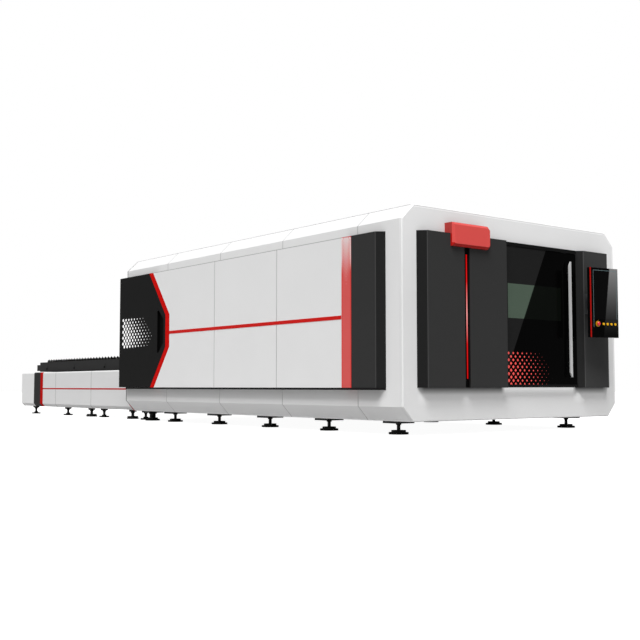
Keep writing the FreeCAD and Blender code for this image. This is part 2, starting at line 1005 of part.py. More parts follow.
def swivel_axis():
    """X and Y of the upright swivel pin."""
    turn = math.radians(panel_angle)
    return (
        panel_front_x - swivel_setback * math.cos(turn),
        panel_front_y + swivel_setback * math.sin(turn),
    )


def panel_arm():
    """Wall plate, arm and fork with the upright swivel pin."""
    pin_x, pin_y = swivel_axis()
    middle = (panel_bottom + panel_top) / 2
    low = middle - swivel_height / 2 - running_gap
    high = middle + swivel_height / 2 + running_gap
    plate_x = (front_cover_face, front_cover_face + arm_plate_thickness)
    arm_y = span(pin_y, 2.0 * swivel_radius)
    pieces = [box(plate_x, span(pin_y, arm_plate_width), span(middle, arm_plate_height))]
    for start, end in ((low - ear_thickness, low), (high, high + ear_thickness)):
        pieces.append(box((plate_x[1], pin_x), arm_y, (start, end)))
        pieces.append(rod((pin_x, pin_y, start), swivel_radius, ear_thickness))
    pieces.append(box((plate_x[1], pin_x - swivel_radius - arm_web_gap), arm_y, (low, high)))
    pin_length = high - low + 2.0 * ear_thickness
    pieces.append(rod((pin_x, pin_y, low - ear_thickness), swivel_pin_radius, pin_length))
    return fuse(*pieces)


def panel_housing():
    """The thin upright housing with its swivel barrel behind it."""
    half = panel_width / 2
    body = prism(rectangle(-half, half, panel_bottom, panel_top), "X", -panel_thickness, 0.0)
    rear = [edge for edge in body.Edges if all(abs(v.X + panel_thickness) < 0.01 for v in edge.Vertexes)]
    body = body.makeChamfer(panel_edge, rear)
    low = (panel_bottom + panel_top - swivel_height) / 2
    neck_z = (low, low + swivel_height)
    neck = box((-swivel_setback, -panel_thickness), span(0.0, neck_width), neck_z)
    barrel = rod((-swivel_setback, 0.0, low), swivel_radius - barrel_gap, swivel_height)
    bore_radius = swivel_pin_radius + fit_clearance
    bore_length = swivel_height + 2.0 * overshoot
    bore = rod((-swivel_setback, 0.0, low - overshoot), bore_radius, bore_length)
    housing = fuse(body, neck, barrel).cut(bore)
    for y, radius, depth in control_seats():
        housing = housing.cut(rod((-depth, y, button_row_height), radius, depth + overshoot, (1, 0, 0)))
    return on_panel(housing)


def control_seats():
    """Middle, radius and depth of the hole behind each control."""
    seats = [(estop_y, estop_stem_radius + running_gap, estop_stem_depth + estop_travel + seat_floor_gap)]
    for k in range(button_count):
        middle = button_first_y + k * button_pitch
        seats.append((middle, button_radius + running_gap, button_seat + button_travel + seat_floor_gap))
    return seats


def panel_screen():
    """The glass of the screen."""
    left = -panel_width / 2 + panel_strip_width + screen_margin
    right = panel_width / 2 - screen_margin
    z = (screen_bottom, panel_top - screen_margin)
    return on_panel(box((0.0, screen_thickness), (left, right), z))


def panel_strip():
    """The red strip along the panel's left edge."""
    left = -panel_width / 2
    return on_panel(box((0.0, strip_thickness), (left, left + panel_strip_width), (panel_bottom, panel_top)))


def estop_collar():
    """The yellow collar round the emergency stop."""
    ring = rod((0.0, estop_y, button_row_height), estop_collar_radius, estop_collar_height, (1, 0, 0))
    bore_radius = estop_stem_radius + running_gap
    bore_length = estop_collar_height + 2.0 * overshoot
    bore = rod((-overshoot, estop_y, button_row_height), bore_radius, bore_length, (1, 0, 0))
    return on_panel(ring.cut(bore))


def estop_button():
    """A mushroom head on its stem, its underside clear of the collar by the press travel."""
    under = estop_collar_height + estop_travel + running_gap
    top = under + estop_head_height
    stem_base = (-estop_stem_depth, estop_y, button_row_height)
    stem = rod(stem_base, estop_stem_radius, estop_stem_depth + under, (1, 0, 0))
    head = rod((under, estop_y, button_row_height), estop_radius, estop_head_height, (1, 0, 0))
    rim = [edge for edge in head.Edges if all(abs(v.X - top) < 0.01 for v in edge.Vertexes)]
    return on_panel(fuse(stem, head.makeChamfer(estop_head_bevel, rim)))


def panel_button(index):
    """One round push button in its seat."""
    y = button_first_y + index * button_pitch
    base = (-button_seat, y, button_row_height)
    return on_panel(rod(base, button_radius, button_seat + button_proud, (1, 0, 0)))


# ---------------------------------------------------------------- machine bed
def foot_stations():
    return [-(foot_first + k * foot_pitch) for k in range(foot_count)]


def foot_plate_at(x, y, underside, size, stem_scale=1.0):
    """A square welded plate with the hole for a foot's stem."""
    low = underside - foot_plate_thickness
    plate = box(span(x, size), span(y, size), (low, underside))
    hole_radius = foot_stem_radius * stem_scale + fit_clearance
    hole = rod((x, y, low - overshoot), hole_radius, foot_plate_thickness + overshoot)
    return plate.cut(hole)


def web_window(x):
    """A window with cut corners through the inner web of a side beam."""
    left, right = x - web_window_length / 2, x + web_window_length / 2
    low, high = web_window_bottom, web_window_top
    cut = web_window_corner
    outline = [
        (left, low + cut),
        (left, high - cut),
        (left + cut, high),
        (right - cut, high),
        (right, high - cut),
        (right, low + cut),
        (right - cut, low),
        (left + cut, low),
    ]
    return prism(outline, "Y", -beam_inner - beam_wall - overshoot, -beam_inner + overshoot)


def bed_side():
    """One hollow side beam with its foot plates and the brackets that carry the cabin wall."""
    x = (bed_rear, bed_front)
    beam = box(x, (-beam_outer, -beam_inner), (cabin_underside, beam_top))
    hollow = box(
        (bed_rear + beam_wall, bed_front - beam_wall),
        (-beam_outer + beam_wall, -beam_inner - beam_wall),
        (cabin_underside + beam_wall, beam_top - beam_wall),
    )
    beam = beam.cut(hollow)
    stations = foot_stations()
    for front, rear in zip(stations, stations[1:]):
        beam = beam.cut(web_window((front + rear) / 2))
    ledge_edge = inset(cabin_outline(), cassette_depth, 0.0)[0][0]
    bracket_y = (ledge_edge - wall_bracket_overlap, -beam_outer)
    ledge_top = cabin_underside + sheet
    pieces = [foot_plate_at(x, -foot_y, cabin_underside, foot_plate) for x in stations]
    pieces.append(foot_plate_at(-rear_foot, -foot_y, cabin_underside, foot_plate, rear_stem_scale))
    for x in stations:
        pieces.append(box(span(x, wall_bracket), bracket_y, (ledge_top, ledge_top + wall_bracket_height)))
    return fuse(beam, *pieces)


def bed_frame():
    """Both side beams joined by cross tubes at the feet."""
    left = bed_side()
    z = (cabin_underside, cabin_underside + cross_tube_height)
    tubes = [box(span(x, cross_tube_width), (-beam_inner, beam_inner), z) for x in foot_stations()]
    return fuse(left, mirrored(left), *tubes)


def scrap_trays():
    """Open trays side by side on the bed's cross tubes, under the pallet."""
    start, end = foot_stations()[0], foot_stations()[-1]
    pitch = (start - end + cross_tube_width) / tray_count
    base = cabin_underside + cross_tube_height
    trays = []
    for k in range(tray_count):
        front = start + cross_tube_width / 2 - k * pitch - tray_gap / 2
        rear = front - pitch + tray_gap
        outline = rectangle(rear, front, -beam_inner + tray_gap, beam_inner - tray_gap)
        trays.append(pan(outline, "Z", base, base + tray_height, tray_wall))
    return Part.makeCompound(trays)


def inner_tracks():
    """Angle rails inside the cabin that carry the pallet's wheels, with an end stop."""
    rear = rear_x + sheet
    front = rear_x - pallet_rear + pallet_length + pallet_travel + track_stop_gap + track_stop
    line = [(-beam_inner, deck_top - track_leg), (-beam_inner, deck_top), (-deck_inner, deck_top)]
    rail = prism(folded(line, deck_thickness), "X", bed_rear, front)
    tail = prism(folded(line[1:], deck_thickness), "X", rear, bed_rear)
    stop_y = (-beam_inner + deck_thickness, -deck_inner)
    stop = box((front - track_stop, front), stop_y, (deck_top, deck_top + track_stop_height))
    return both_sides(fuse(rail, tail, stop))


def x_guides():
    """The two linear guides on the side beams, each with its rack beside it."""
    x = (bed_rear + guide_end_gap, guide_front)
    guide = box(x, span(-guide_y, guide_width), (beam_top, beam_top + guide_height))
    rack = box(x, span(-rack_y, rack_width), (beam_top, beam_top + rack_height))
    return both_sides(guide, rack)


# ---------------------------------------------------------------- levelling feet
def feet():
    """X, Y, underside of what it carries, pad and ring radius and stem scale, for each left foot."""
    cabin = (-foot_y, cabin_underside, foot_pad_radius, foot_ring_radius)
    small = (-table_foot_y, table_underside, small_pad_radius, small_ring_radius, 1.0)
    heavy = (-table_foot_y, table_underside, heavy_pad_radius, heavy_ring_radius, heavy_stem_scale)
    places = [(x, *cabin, 1.0) for x in foot_stations()]
    places.append((-rear_foot, *cabin, rear_stem_scale))
    places += [(rear_x - station, *small) for station in table_foot_stations]
    places += [(rear_x - station, *heavy) for station in lift_foot_stations]
    return places


def foot_pads():
    """Turned pads with a raised ring and a socket for the stem."""
    pads = []
    for x, y, _, pad, ring, stem_scale in feet():
        socket = foot_stem_radius * stem_scale + foot_socket_gap
        profile = [
            (0.0, 0.0),
            (pad, 0.0),
            (pad, foot_pad_height),
            (ring, foot_pad_height),
            (ring, foot_ring_height),
            (socket, foot_ring_height),
            (socket, foot_stem_seat),
            (0.0, foot_stem_seat),
        ]
        pads.append(turned(profile, x, y))
    return both_sides(*pads)


def foot_screws():
    """Threaded stems with a hexagon for the spanner, from the pad's socket into the plate."""
    screws = []
    for x, y, underside, _, _, scale in feet():
        stem = rod((x, y, foot_stem_seat), foot_stem_radius * scale, underside - foot_stem_seat)
        corner = (foot_stem_radius * scale + foot_hex_margin) / math.cos(math.radians(30))
        angles = [math.radians(60 * k) for k in range(6)]
        flats = [(x + corner * math.cos(a), y + corner * math.sin(a)) for a in angles]
        top = underside - foot_plate_thickness
        screws.append(fuse(stem, prism(flats, "Z", top - foot_hex_height, top)))
    return both_sides(*screws)


# ---------------------------------------------------------------- gantry
def gantry_beam():
    """A rectangular tube across the bed."""
    wall = gantry_wall
    z = (gantry_bottom, gantry_bottom + gantry_height)
    beam = box(span(-gantry_home, gantry_width), (-gantry_end, gantry_end), z)
    hollow_x = span(-gantry_home, gantry_width - 2.0 * wall)
    hollow_y = (-gantry_end - overshoot, gantry_end + overshoot)
    return beam.cut(box(hollow_x, hollow_y, (z[0] + wall, z[1] - wall)))


def gantry_saddles():
    """End plates with the bearing blocks that ride on the bed's guides."""
    x = -gantry_home
    outer = -gantry_end - saddle_cheek
    base_low = gantry_bottom - saddle_thickness
    pieces = [
        box(span(x, saddle_length), (outer, -saddle_inner), (base_low, gantry_bottom)),
        box(span(x, gantry_width), (outer, -gantry_end), (gantry_bottom, gantry_bottom + gantry_height)),
    ]
    low = beam_top + bearing_lift
    slot_z = (low - overshoot, beam_top + guide_height + running_gap)
    slot_y = span(-guide_y, guide_width + 2.0 * running_gap)
    for centre in span(x, bearing_spread):
        block = box(span(centre, bearing_length), span(-guide_y, bearing_width), (low, base_low))
        pieces.append(block.cut(box(span(centre, bearing_length + 2.0 * overshoot), slot_y, slot_z)))
    saddle = fuse(*pieces)
    drive_x, drive_y = x_drive_axis()
    hole_radius = drive_shaft_radius + drive_shaft_clearance
    hole_depth = saddle_thickness + 2.0 * overshoot
    saddle = saddle.cut(rod((drive_x, drive_y, base_low - overshoot), hole_radius, hole_depth))
    return both_sides(saddle)


def x_drive_axis():
    """X and Y of the upright drive shaft that meshes with the left rack."""
    x = -gantry_home - gantry_width / 2 - gearbox_size / 2
    y = -rack_y + rack_width / 2 + running_gap + pinion_radius
    return x, y


def x_drives():
    """Servo motor, gearbox, shaft and pinion at each end of the gantry."""
    x, y = x_drive_axis()
    low = gantry_bottom + gearbox_height
    gearbox = box(span(x, gearbox_size), span(y, gearbox_size), (gantry_bottom, low))
    motor = box(span(x, motor_size), span(y, motor_size), (low, low + motor_height))
    upright = [edge for edge in motor.Edges if abs(edge.Vertexes[0].Z - edge.Vertexes[1].Z) > 1.0]
    motor = motor.makeChamfer(motor_bevel, upright)
    pinion_low = beam_top + running_gap
    shaft = rod((x, y, pinion_low), drive_shaft_radius, gantry_bottom - pinion_low)
    pinion = rod((x, y, pinion_low), pinion_radius, rack_height)
    return both_sides(fuse(gearbox, motor, shaft, pinion))


def y_guides():
    """Two guides and a rack along the front of the gantry beam."""
    y = (-y_guide_half, y_guide_half)
    bars = []
    for z in (y_guide_low, y_guide_high):
        bars.append(box((beam_face, beam_face + y_guide_size), y, span(z, y_guide_size)))
    middle = (y_guide_low + y_guide_high) / 2
    bars.append(box((beam_face, beam_face + y_rack_depth), y, span(middle, y_rack_height)))
    return Part.makeCompound(bars)


def carriage_back():
    """X of the carriage plate's rear face."""
    return beam_face + y_guide_size + carriage_standoff


def z_rail_middles():
    """Y of the two Z rails."""
    return span(head_y, z_plate_width - 2.0 * z_rail_inset)


def carriage():
    """The plate that crosses the beam on four bearing blocks, with the Z rails on its front."""
    back = carriage_back()
    front = back + carriage_thickness
    half = carriage_width / 2 - y_block_inset
    pieces = [box((back, front), span(carriage_home, carriage_width), (carriage_bottom, carriage_top))]
    for z in (y_guide_low, y_guide_high):
        for y in (carriage_home - half, carriage_home + half):
            block = box((beam_face + y_block_gap, back), span(y, y_block_length), span(z, y_block_height))
            slot_x = (beam_face, beam_face + y_guide_size + running_gap)
            slot_y = span(y, y_block_length + 2.0 * overshoot)
            slot = box(slot_x, slot_y, span(z, y_guide_size + 2.0 * running_gap))
            pieces.append(block.cut(slot))
    plate = fuse(*pieces)
    shaft_y, shaft_z = y_drive_axis()
    hole_radius = y_shaft_radius + drive_shaft_clearance
    hole_depth = carriage_thickness + 2.0 * overshoot
    plate = plate.cut(rod((back - overshoot, shaft_y, shaft_z), hole_radius, hole_depth, (1, 0, 0)))
    rail_z = (carriage_bottom + z_rail_end_gap, carriage_top - z_rail_end_gap)
    rails = [box((front, front + z_rail_depth), span(y, z_rail_width), rail_z) for y in z_rail_middles()]
    return fuse(plate, *rails)


def y_drive_axis():
    """Y and Z of the carriage's drive shaft, above the rack on the beam."""
    middle = (y_guide_low + y_guide_high) / 2
    return carriage_home + y_drive_offset, middle + y_rack_height / 2 + running_gap + y_pinion_radius


def carriage_drives():
    """The Y motor in front of the carriage plate with its pinion, and the Z motor on top."""
    y, z = y_drive_axis()
    back = carriage_back()
    front = back + carriage_thickness
    start = beam_face + running_gap
    body = box((front, front + y_motor_length), span(y, y_motor_size), span(z, y_motor_size))
    shaft = rod((start, y, z), y_shaft_radius, front - start, (1, 0, 0))
    pinion = rod((start, y, z), y_pinion_radius, y_pinion_width, (1, 0, 0))
    z_motor_x = (front - z_motor_inset - z_motor_size, front - z_motor_inset)
    z_motor = box(z_motor_x, span(head_y, z_motor_size), (carriage_top, carriage_top + y_motor_length))
    return Part.makeCompound([fuse(body, shaft, pinion), z_motor])


def z_plate_back():
    """X of the Z plate's rear face, just in front of the Z rails."""
    return carriage_back() + carriage_thickness + z_rail_depth + running_gap


def z_slide():
    """The upright plate that carries the head, with two long shoes over the Z rails."""
    back = z_plate_back()
    z = (z_plate_bottom, z_plate_bottom + z_plate_height)
    pieces = [box((back, back + z_plate_thickness), span(head_y, z_plate_width), z)]
    shoe_z = (z_plate_bottom, z_plate_bottom + z_shoe_length)
    for y in z_rail_middles():
        block_x = (back - z_rail_depth + z_shoe_overlap, back)
        block = box(block_x, span(y, z_rail_width + 2.0 * z_shoe_wall), shoe_z)
        slot = box(block_x, span(y, z_rail_width + 2.0 * running_gap), shoe_z)
        pieces.append(block.cut(slot))
    return fuse(*pieces)


def head_axis():
    """X and Y of the laser beam."""
    return z_plate_back() + z_plate_thickness + clamp_reach + head_radius, head_y


def cutting_head():
    """The turned body of the head with its clamp on the Z slide."""
    x, y = head_axis()
    low = nozzle_tip + nozzle_length
    profile = [
        (0.0, low),
        (head_tip_radius, low),
        (head_cone_radius, low + head_cone_height),
        (head_neck_radius, low + head_collar_height),
        (head_radius, low + head_body_bottom),
        (head_radius, low + head_body_top),
        (head_neck_radius, low + head_neck_bottom),
        (head_neck_radius, low + head_neck_top),
        (head_tip_radius, low + head_plug_bottom),
        (head_tip_radius, low + head_height),
        (0.0, low + head_height),
    ]
    body = turned(profile, x, y)
    clamp_x = (x - head_radius - clamp_reach, x - head_radius + clamp_overlap)
    clamp = box(clamp_x, span(y, clamp_width), span(low + clamp_lift, clamp_height))
    return fuse(body, clamp)


def nozzle():
    """The conical nozzle with its bore."""
    x, y = head_axis()
    top = nozzle_tip + nozzle_length
    profile = [
        (nozzle_bore, nozzle_tip),
        (nozzle_radius / 3, nozzle_tip),
        (nozzle_radius, nozzle_tip + nozzle_length / 2),
        (nozzle_radius, top),
        (nozzle_bore, top),
    ]
    return turned(profile, x, y)


# ---------------------------------------------------------------- exchange table
def table_line():
    """The folded line of the table's left side in Y and Z, from the top flange to the skirt."""
    y = -table_side
    foot = table_underside + table_skirt_height
    return [
        (y + table_flange, table_top),
        (y + table_top_bevel, table_top),
        (y, table_top - table_top_bevel),
        (y, foot),
        (y + table_skirt_width, table_underside),
    ]


def table_strip(start, end):
    """A folded side cover of the table between two distances behind the cabin."""
    return prism(folded(table_line()[::-1], sheet), "X", rear_x - end, rear_x - start)


def table_panels():
    """White covers along both sides of the table, split at its seams."""
    ends = [0.0] + sorted(table_seams) + [table_length - end_cover_length - end_band_black - end_band_red]
    strips = []
    for start, end in zip(ends, ends[1:]):
        strips.append(table_strip(start + table_seam_half, end - table_seam_half))
    return both_sides(*strips)


def table_red_bands():
    """The narrow red covers beside the black ones."""
    end = table_length - end_cover_length - end_band_black
    return both_sides(table_strip(end - end_band_red + table_seam_half, end - table_seam_half))


def table_black_bands():
    """The black covers beside the white end block."""
    end = table_length - end_cover_length
    return both_sides(table_strip(end - end_band_black + table_seam_half, end - table_seam_half))


def table_end_cover():
    """The white end block: a hood, open below and notched where the pallets and their hooks rise."""
    left = table_line()[1:]
    outline = left[::-1] + [(-y, z) for y, z in left]
    rear = table_rear
    front = table_rear + end_cover_length
    hood = prism(outline, "X", rear, front)
    hollow = prism(inset(outline, sheet, -overshoot), "X", rear + sheet, front + overshoot)
    half = lift_web_inner + lift_web_thickness + notch_margin
    notch_rear = rear_x - pallet_rear - hook_length - notch_margin
    notch_z = (table_top - sheet - overshoot, table_top + overshoot)
    notch = box((notch_rear, front + overshoot), (-half, half), notch_z)
    return hood.cut(hollow).cut(notch)


def table_frame():
    """Two low side beams with cross tubes, and columns that carry the covers."""
    low, high = table_underside, table_underside + table_beam_height
    outer = table_beam_outer
    inner = outer - table_beam_width
    pieces = [box((table_rear + end_gap, rear_x), (-outer, -inner), (low, high))]
    for station in column_stations:
        column_y = (-outer, -outer + column_depth)
        pieces.append(box(span(rear_x - station, column_size), column_y, (high, table_top - sheet)))
    for station in table_foot_stations:
        pieces.append(foot_plate_at(rear_x - station, -table_foot_y, low, table_foot_plate))
    for station in lift_foot_stations:
        pieces.append(foot_plate_at(rear_x - station, -table_foot_y, low, table_foot_plate, heavy_stem_scale))
    side = fuse(*pieces)
    tube_z = (low, high - tube_step)
    tubes = [box(span(rear_x - s, column_size), (-inner, inner), tube_z) for s in column_stations]
    return fuse(side, mirrored(side), *tubes)


def lift_frame():
    """Side webs with the upper and lower deck rails, joined by cross bars."""
    x = (rear_x - lift_rear, rear_x - lift_front_gap)
    web = (-lift_web_inner - lift_web_thickness, -lift_web_inner)
    deck_y = (-lift_web_inner, -deck_inner)
    low = deck_top - deck_pitch - lift_web_drop
    pieces = [box(x, web, (low, deck_top + lift_web_rise))]
    for top in (deck_top, deck_top - deck_pitch):
        pieces.append(box(x, deck_y, (top - deck_thickness, top)))
    lug_top = deck_top - lift_lug_drop
    lug_low = lug_top - lift_lug_thickness
    for station in ram_stations:
        at = rear_x - station
        pieces.append(box(span(at, lift_lug_length), (-ram_y - lift_lug_reach, web[0]), (lug_low, lug_top)))
        pieces.append(rod((at, -ram_y, lug_low - ram_stroke), ram_rod_radius, ram_stroke))
    side = fuse(*pieces)
    bars = []
    for start in (x[0] + lift_bar_insets[0], x[1] - lift_bar_insets[1]):
        bar_y = (-lift_web_inner, lift_web_inner)
        bars.append(box((start, start + lift_bar_width), bar_y, (low, low + lift_bar_height)))
    return fuse(side, mirrored(side), *bars)


def lift_rams():
    """Upright lift cylinders on the table's side beams, each with its rod's bore."""
    low = table_underside + table_beam_height
    lug_low = deck_top - lift_lug_drop - lift_lug_thickness
    top = lug_low - ram_head_gap
    rams = []
    for station in ram_stations:
        at = rear_x - station
        bore_base = (at, -ram_y, lug_low - ram_stroke - ram_end_gap)
        bore = rod(bore_base, ram_rod_radius + fit_clearance, ram_stroke)
        rams.append(rod((at, -ram_y, low), ram_radius, top - low).cut(bore))
    return both_sides(*rams)


def exchange_drive():
    """Gear motor with the cross shaft and sprockets that push the pallets, on the last cross tube."""
    x = rear_x - column_stations[0]
    z = exchange_shaft_height
    body = gearbox_body / 2
    shaft = rod((x, -sprocket_y, z), exchange_shaft_radius, 2.0 * sprocket_y, (0, 1, 0))
    wheels = []
    for y in (-sprocket_y, sprocket_y - sprocket_thickness):
        wheels.append(rod((x, y, z), sprocket_radius, sprocket_thickness, (0, 1, 0)))
    gearbox = box((x - body, x + body), (-body, body), (z - body, z + body))
    motor = rod((x, body, z), motor_size / 2, 2.0 * motor_size, (0, 1, 0))
    base = table_underside + table_beam_height - tube_step
    stand = box((x - column_size / 2, x + column_size / 2), (-body, body), (base, z - body))
    return fuse(shaft, *wheels, gearbox, motor, stand)


# ---------------------------------------------------------------- pallets
def pallet_frame():
    """Side rails with rear hooks, end rails, cross rails and two ribs that carry the slats."""
    x = (rear_x - pallet_rear, rear_x - pallet_rear + pallet_length)
    half = pallet_half_width
    inner = half - pallet_rail_width
    under_slats = slat_seat - ledge_thickness
    side = [
        box(x, (-half, -inner), (pallet_bottom, pallet_top)),
        box(x, (-inner, -inner + ledge_width), (under_slats, slat_seat)),
        box(x, span(-rib_y, rib_width), (pallet_bottom, slat_seat)),
    ]
    side.append(box((x[0] - hook_length, x[0]), (-half, -half + hook_width), (hook_bottom, hook_top)))
    pad_z = span((pallet_bottom + pallet_top) / 2, guide_pad_size)
    for station in guide_pad_stations:
        pad_x = span(x[0] + station, guide_pad_size)
        side.append(box(pad_x, (-half - guide_pad_thickness, -half), pad_z))
    pieces = side + [mirrored(piece) for piece in side]
    for start in (x[0], x[1] - pallet_rail_width):
        end_z = (pallet_bottom, pallet_top - end_rail_drop)
        pieces.append(box((start, start + pallet_rail_width), (-inner, inner), end_z))
    for k in range(cross_rail_count):
        cross_x = span(x[0] + (k + 1) * cross_pitch, cross_rail)
        pieces.append(box(cross_x, (-inner, inner), (pallet_bottom, under_slats)))
    frame = fuse(*pieces)
    bore = wheel_axle_radius + fit_clearance
    for station in wheel_stations:
        for side_sign in (-1, 1):
            base = (x[0] + station, side_sign * (half - axle_cover), wheel_z)
            frame = frame.cut(rod(base, bore, pallet_rail_width, (0, -side_sign, 0)))
    return frame


def slat(x):
    """One upright slat across the pallet with a row of teeth along its top."""
    half = pallet_half_width - pallet_rail_width - slat_end_gap
    pitch = 2.0 * half / slat_teeth
    root = slat_tip - tooth_depth
    points = [(-half, slat_seat)]
    for k in range(slat_teeth):
        left = -half + k * pitch
        points += [(left, root), (left + pitch / 2, slat_tip)]
    points += [(half, root), (half, slat_seat)]
    return prism(points, "X", *span(x, slat_thickness))


def pallet_slats():
    """The row of slats in one pallet."""
    first = rear_x - pallet_rear + slat_rear_margin
    return Part.makeCompound([slat(first + k * slat_pitch) for k in range(slat_count)])


def wheel(station):
    """A wheel inside the pallet's side rail, on its stub axle in the rail."""
    x = rear_x - pallet_rear + station
    inner = -(pallet_half_width - pallet_rail_width)
    stub_start = -pallet_half_width + axle_cover + axle_end_gap
    stub = rod((x, stub_start, wheel_z), wheel_axle_radius, inner + wheel_width - stub_start, (0, 1, 0))
    return fuse(stub, rod((x, inner + seat_gap, wheel_z), wheel_radius, wheel_width, (0, 1, 0)))


def pallet_wheels(station):
    """The left and right wheel of one axis."""
    return both_sides(wheel(station))


def lowered(shape):
    """The same piece on the lower deck."""
    copy = shape.copy()
    copy.translate(V(0, 0, -deck_pitch))
    return copy


def lower_pallet():
    """The second pallet with its four wheels, standing on the lower deck."""
    wheels = [pallet_wheels(station) for station in wheel_stations]
    return Part.makeCompound([lowered(shape) for shape in [pallet_frame(), *wheels]])


# ---------------------------------------------------------------- the whole machine
def build():
    """Every piece of the machine by its name."""
    nodes = {
        "bed_frame": bed_frame(),
        "scrap_trays": scrap_trays(),
        "inner_pallet_tracks": inner_tracks(),
        "x_guides": x_guides(),
        "front_wall": end_plate(0.0, -cassette_depth, door_opening()),
        "rear_wall": rear_wall(),
        "wall_panels": wall_panels(),
        "service_wall_panels": service_wall_panels(),
        "roof_panels": roof_panels(),
        "side_panels": side_panels(),
        "side_corner_covers": both_sides(corner_cover()),
        "side_red_trims": both_sides(red_band(), trim_line()),
        "chevron_trims": both_sides(chevron_trim()),
        "left_service_door": service_door(),
        "right_service_door": mirrored(service_door()),
        "front_cover_outer": front_cover_outer(),
        "front_cover_inner": front_cover_inner(),
        "front_pillar": front_pillar(),
        "status_light": status_light(),
        "sign_block": sign_block(),
        "door_tracks": Part.makeCompound([door_track(), door_sill()]),
        "door_leaf": door_leaf(),
        "door_window": door_window(),
        "door_handle": door_handle(),
        "door_hangers": door_hangers(),
        "panel_arm": panel_arm(),
        "panel_housing": panel_housing(),
        "panel_screen": panel_screen(),
        "panel_strip": panel_strip(),
        "estop_collar": estop_collar(),
        "estop_button": estop_button(),
        "gantry_beam": gantry_beam(),
        "gantry_saddles": gantry_saddles(),
        "x_drives": x_drives(),
        "y_guides": y_guides(),
        "carriage": carriage(),
        "carriage_drives": carriage_drives(),
        "z_slide": z_slide(),
        "cutting_head": cutting_head(),
        "nozzle": nozzle(),
        "table_frame": table_frame(),
        "table_panels": table_panels(),
        "table_end_cover": table_end_cover(),
        "table_black_bands": table_black_bands(),
        "table_red_bands": table_red_bands(),
        "lift_frame": lift_frame(),
        "lift_rams": lift_rams(),
        "exchange_drive": exchange_drive(),
        "upper_pallet": pallet_frame(),
        "upper_slats": pallet_slats(),
        "lower_pallet": lower_pallet(),
        "lower_slats": lowered(pallet_slats()),
        "foot_pads": foot_pads(),
        "foot_screws": foot_screws(),
    }
    for index in range(button_count):
        nodes[f"panel_button_{index + 1}"] = panel_button(index)
    for name, station in zip(("rear", "front"), wheel_stations):
        nodes[f"upper_wheels_{name}"] = pallet_wheels(station)
    return nodes


def centred(nodes):
    """Move every piece along X so that the origin is the middle of the footprint."""
    reach = Part.makeCompound(list(nodes.values())).BoundBox
    shift = V(-(reach.XMin + reach.XMax) / 2, 0, 0)
    for shape in nodes.values():
        shape.translate(shift)
    return shift.x


NODES = build()
FRONT_X = centred(NODES)

os.makedirs("parts", exist_ok=True)
for node_name, node_shape in NODES.items():
    node_shape.exportStep(f"parts/{node_name}.step")
print(f"{len(NODES)} pieces; the front face is at X = {FRONT_X:.3f} mm")
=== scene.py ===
"""Finishes, printed patterns and studio for a fiber laser cutting machine with an exchange table.

Metres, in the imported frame: +X points out of the operator's door, Z = 0 is the floor.
"""
import math
from functools import cached_property, reduce

import bmesh
import bpy
from mathutils import Matrix, Vector


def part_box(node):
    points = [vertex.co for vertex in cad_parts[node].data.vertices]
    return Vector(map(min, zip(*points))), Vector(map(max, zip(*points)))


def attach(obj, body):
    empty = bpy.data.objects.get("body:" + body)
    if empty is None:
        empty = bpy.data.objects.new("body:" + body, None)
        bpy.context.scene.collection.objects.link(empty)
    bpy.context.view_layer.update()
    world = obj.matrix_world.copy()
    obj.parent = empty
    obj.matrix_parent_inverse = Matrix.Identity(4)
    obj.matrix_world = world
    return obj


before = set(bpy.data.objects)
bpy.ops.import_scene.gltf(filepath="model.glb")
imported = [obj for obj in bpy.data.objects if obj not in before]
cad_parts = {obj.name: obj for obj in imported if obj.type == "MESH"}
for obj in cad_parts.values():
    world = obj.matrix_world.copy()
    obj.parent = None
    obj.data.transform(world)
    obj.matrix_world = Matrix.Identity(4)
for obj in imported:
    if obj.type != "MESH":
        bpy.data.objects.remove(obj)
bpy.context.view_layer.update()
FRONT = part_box("front_wall")[1].x
X_AXIS = (1.0, 0.0, 0.0)
Y_AXIS = (0.0, 1.0, 0.0)
Z_AXIS = (0.0, 0.0, 1.0)
DOWN = (0.0, 0.0, -1.0)
SIDES = ((-1, "left"), (1, "right"))
WHITE = (1.0, 1.0, 1.0, 1.0)
HAIR = 0.001


def at(x, y, z):
    """A point given from the middle of the cabin's front face at floor level."""
    return Vector((FRONT + x, y, z))


# ---------------------------------------------------------------- node graphs
# How fine each surface's pattern is: a larger number repeats more often in a metre.
CLOUD_SCALE = 1.7
PEEL_SCALE = 420.0
LINE_SCALE = 9.0
BLOTCH_SCALE = 12.0
LEATHER_SCALE = 800.0
MILL_SCALE = 9.0
SPATTER_SCALE = 160.0
CRYSTAL_SCALE = 35.0
GLOSS_SCALE = 3.0
RIPPLE_SCALE = 25.0
GLASS_SCALE = 5.0
FLOOR_SCALE = 0.3

# Nearly all of a noise pattern lies between these two.
NOISE_SPAN = (0.3, 0.7)

PEEL_STRENGTH = 0.12
PEEL_DEPTH = 0.0004
FLANGE_BEGINS = 0.0015
FLANGE_FULL = 0.0005
SHEEN_SOFTNESS = 0.004
SEAM_REACH = 0.0055
SEAM_SOFTNESS = 0.0005
SEAM_TONE = "#b8b8b8"


def linear(text):
    """The linear colour of a hex colour as it looks on a screen."""
    values = [int(text[k:k + 2], 16) / 255 for k in (1, 3, 5)]
    bright = [v / 12.92 if v <= 0.04045 else ((v + 0.055) / 1.055) ** 2.4 for v in values]
    return (*bright, 1.0)


def scaled(colour, factor):
    """A colour made lighter or darker."""
    return (*[min(1.0, channel * factor) for channel in colour[:3]], 1.0)


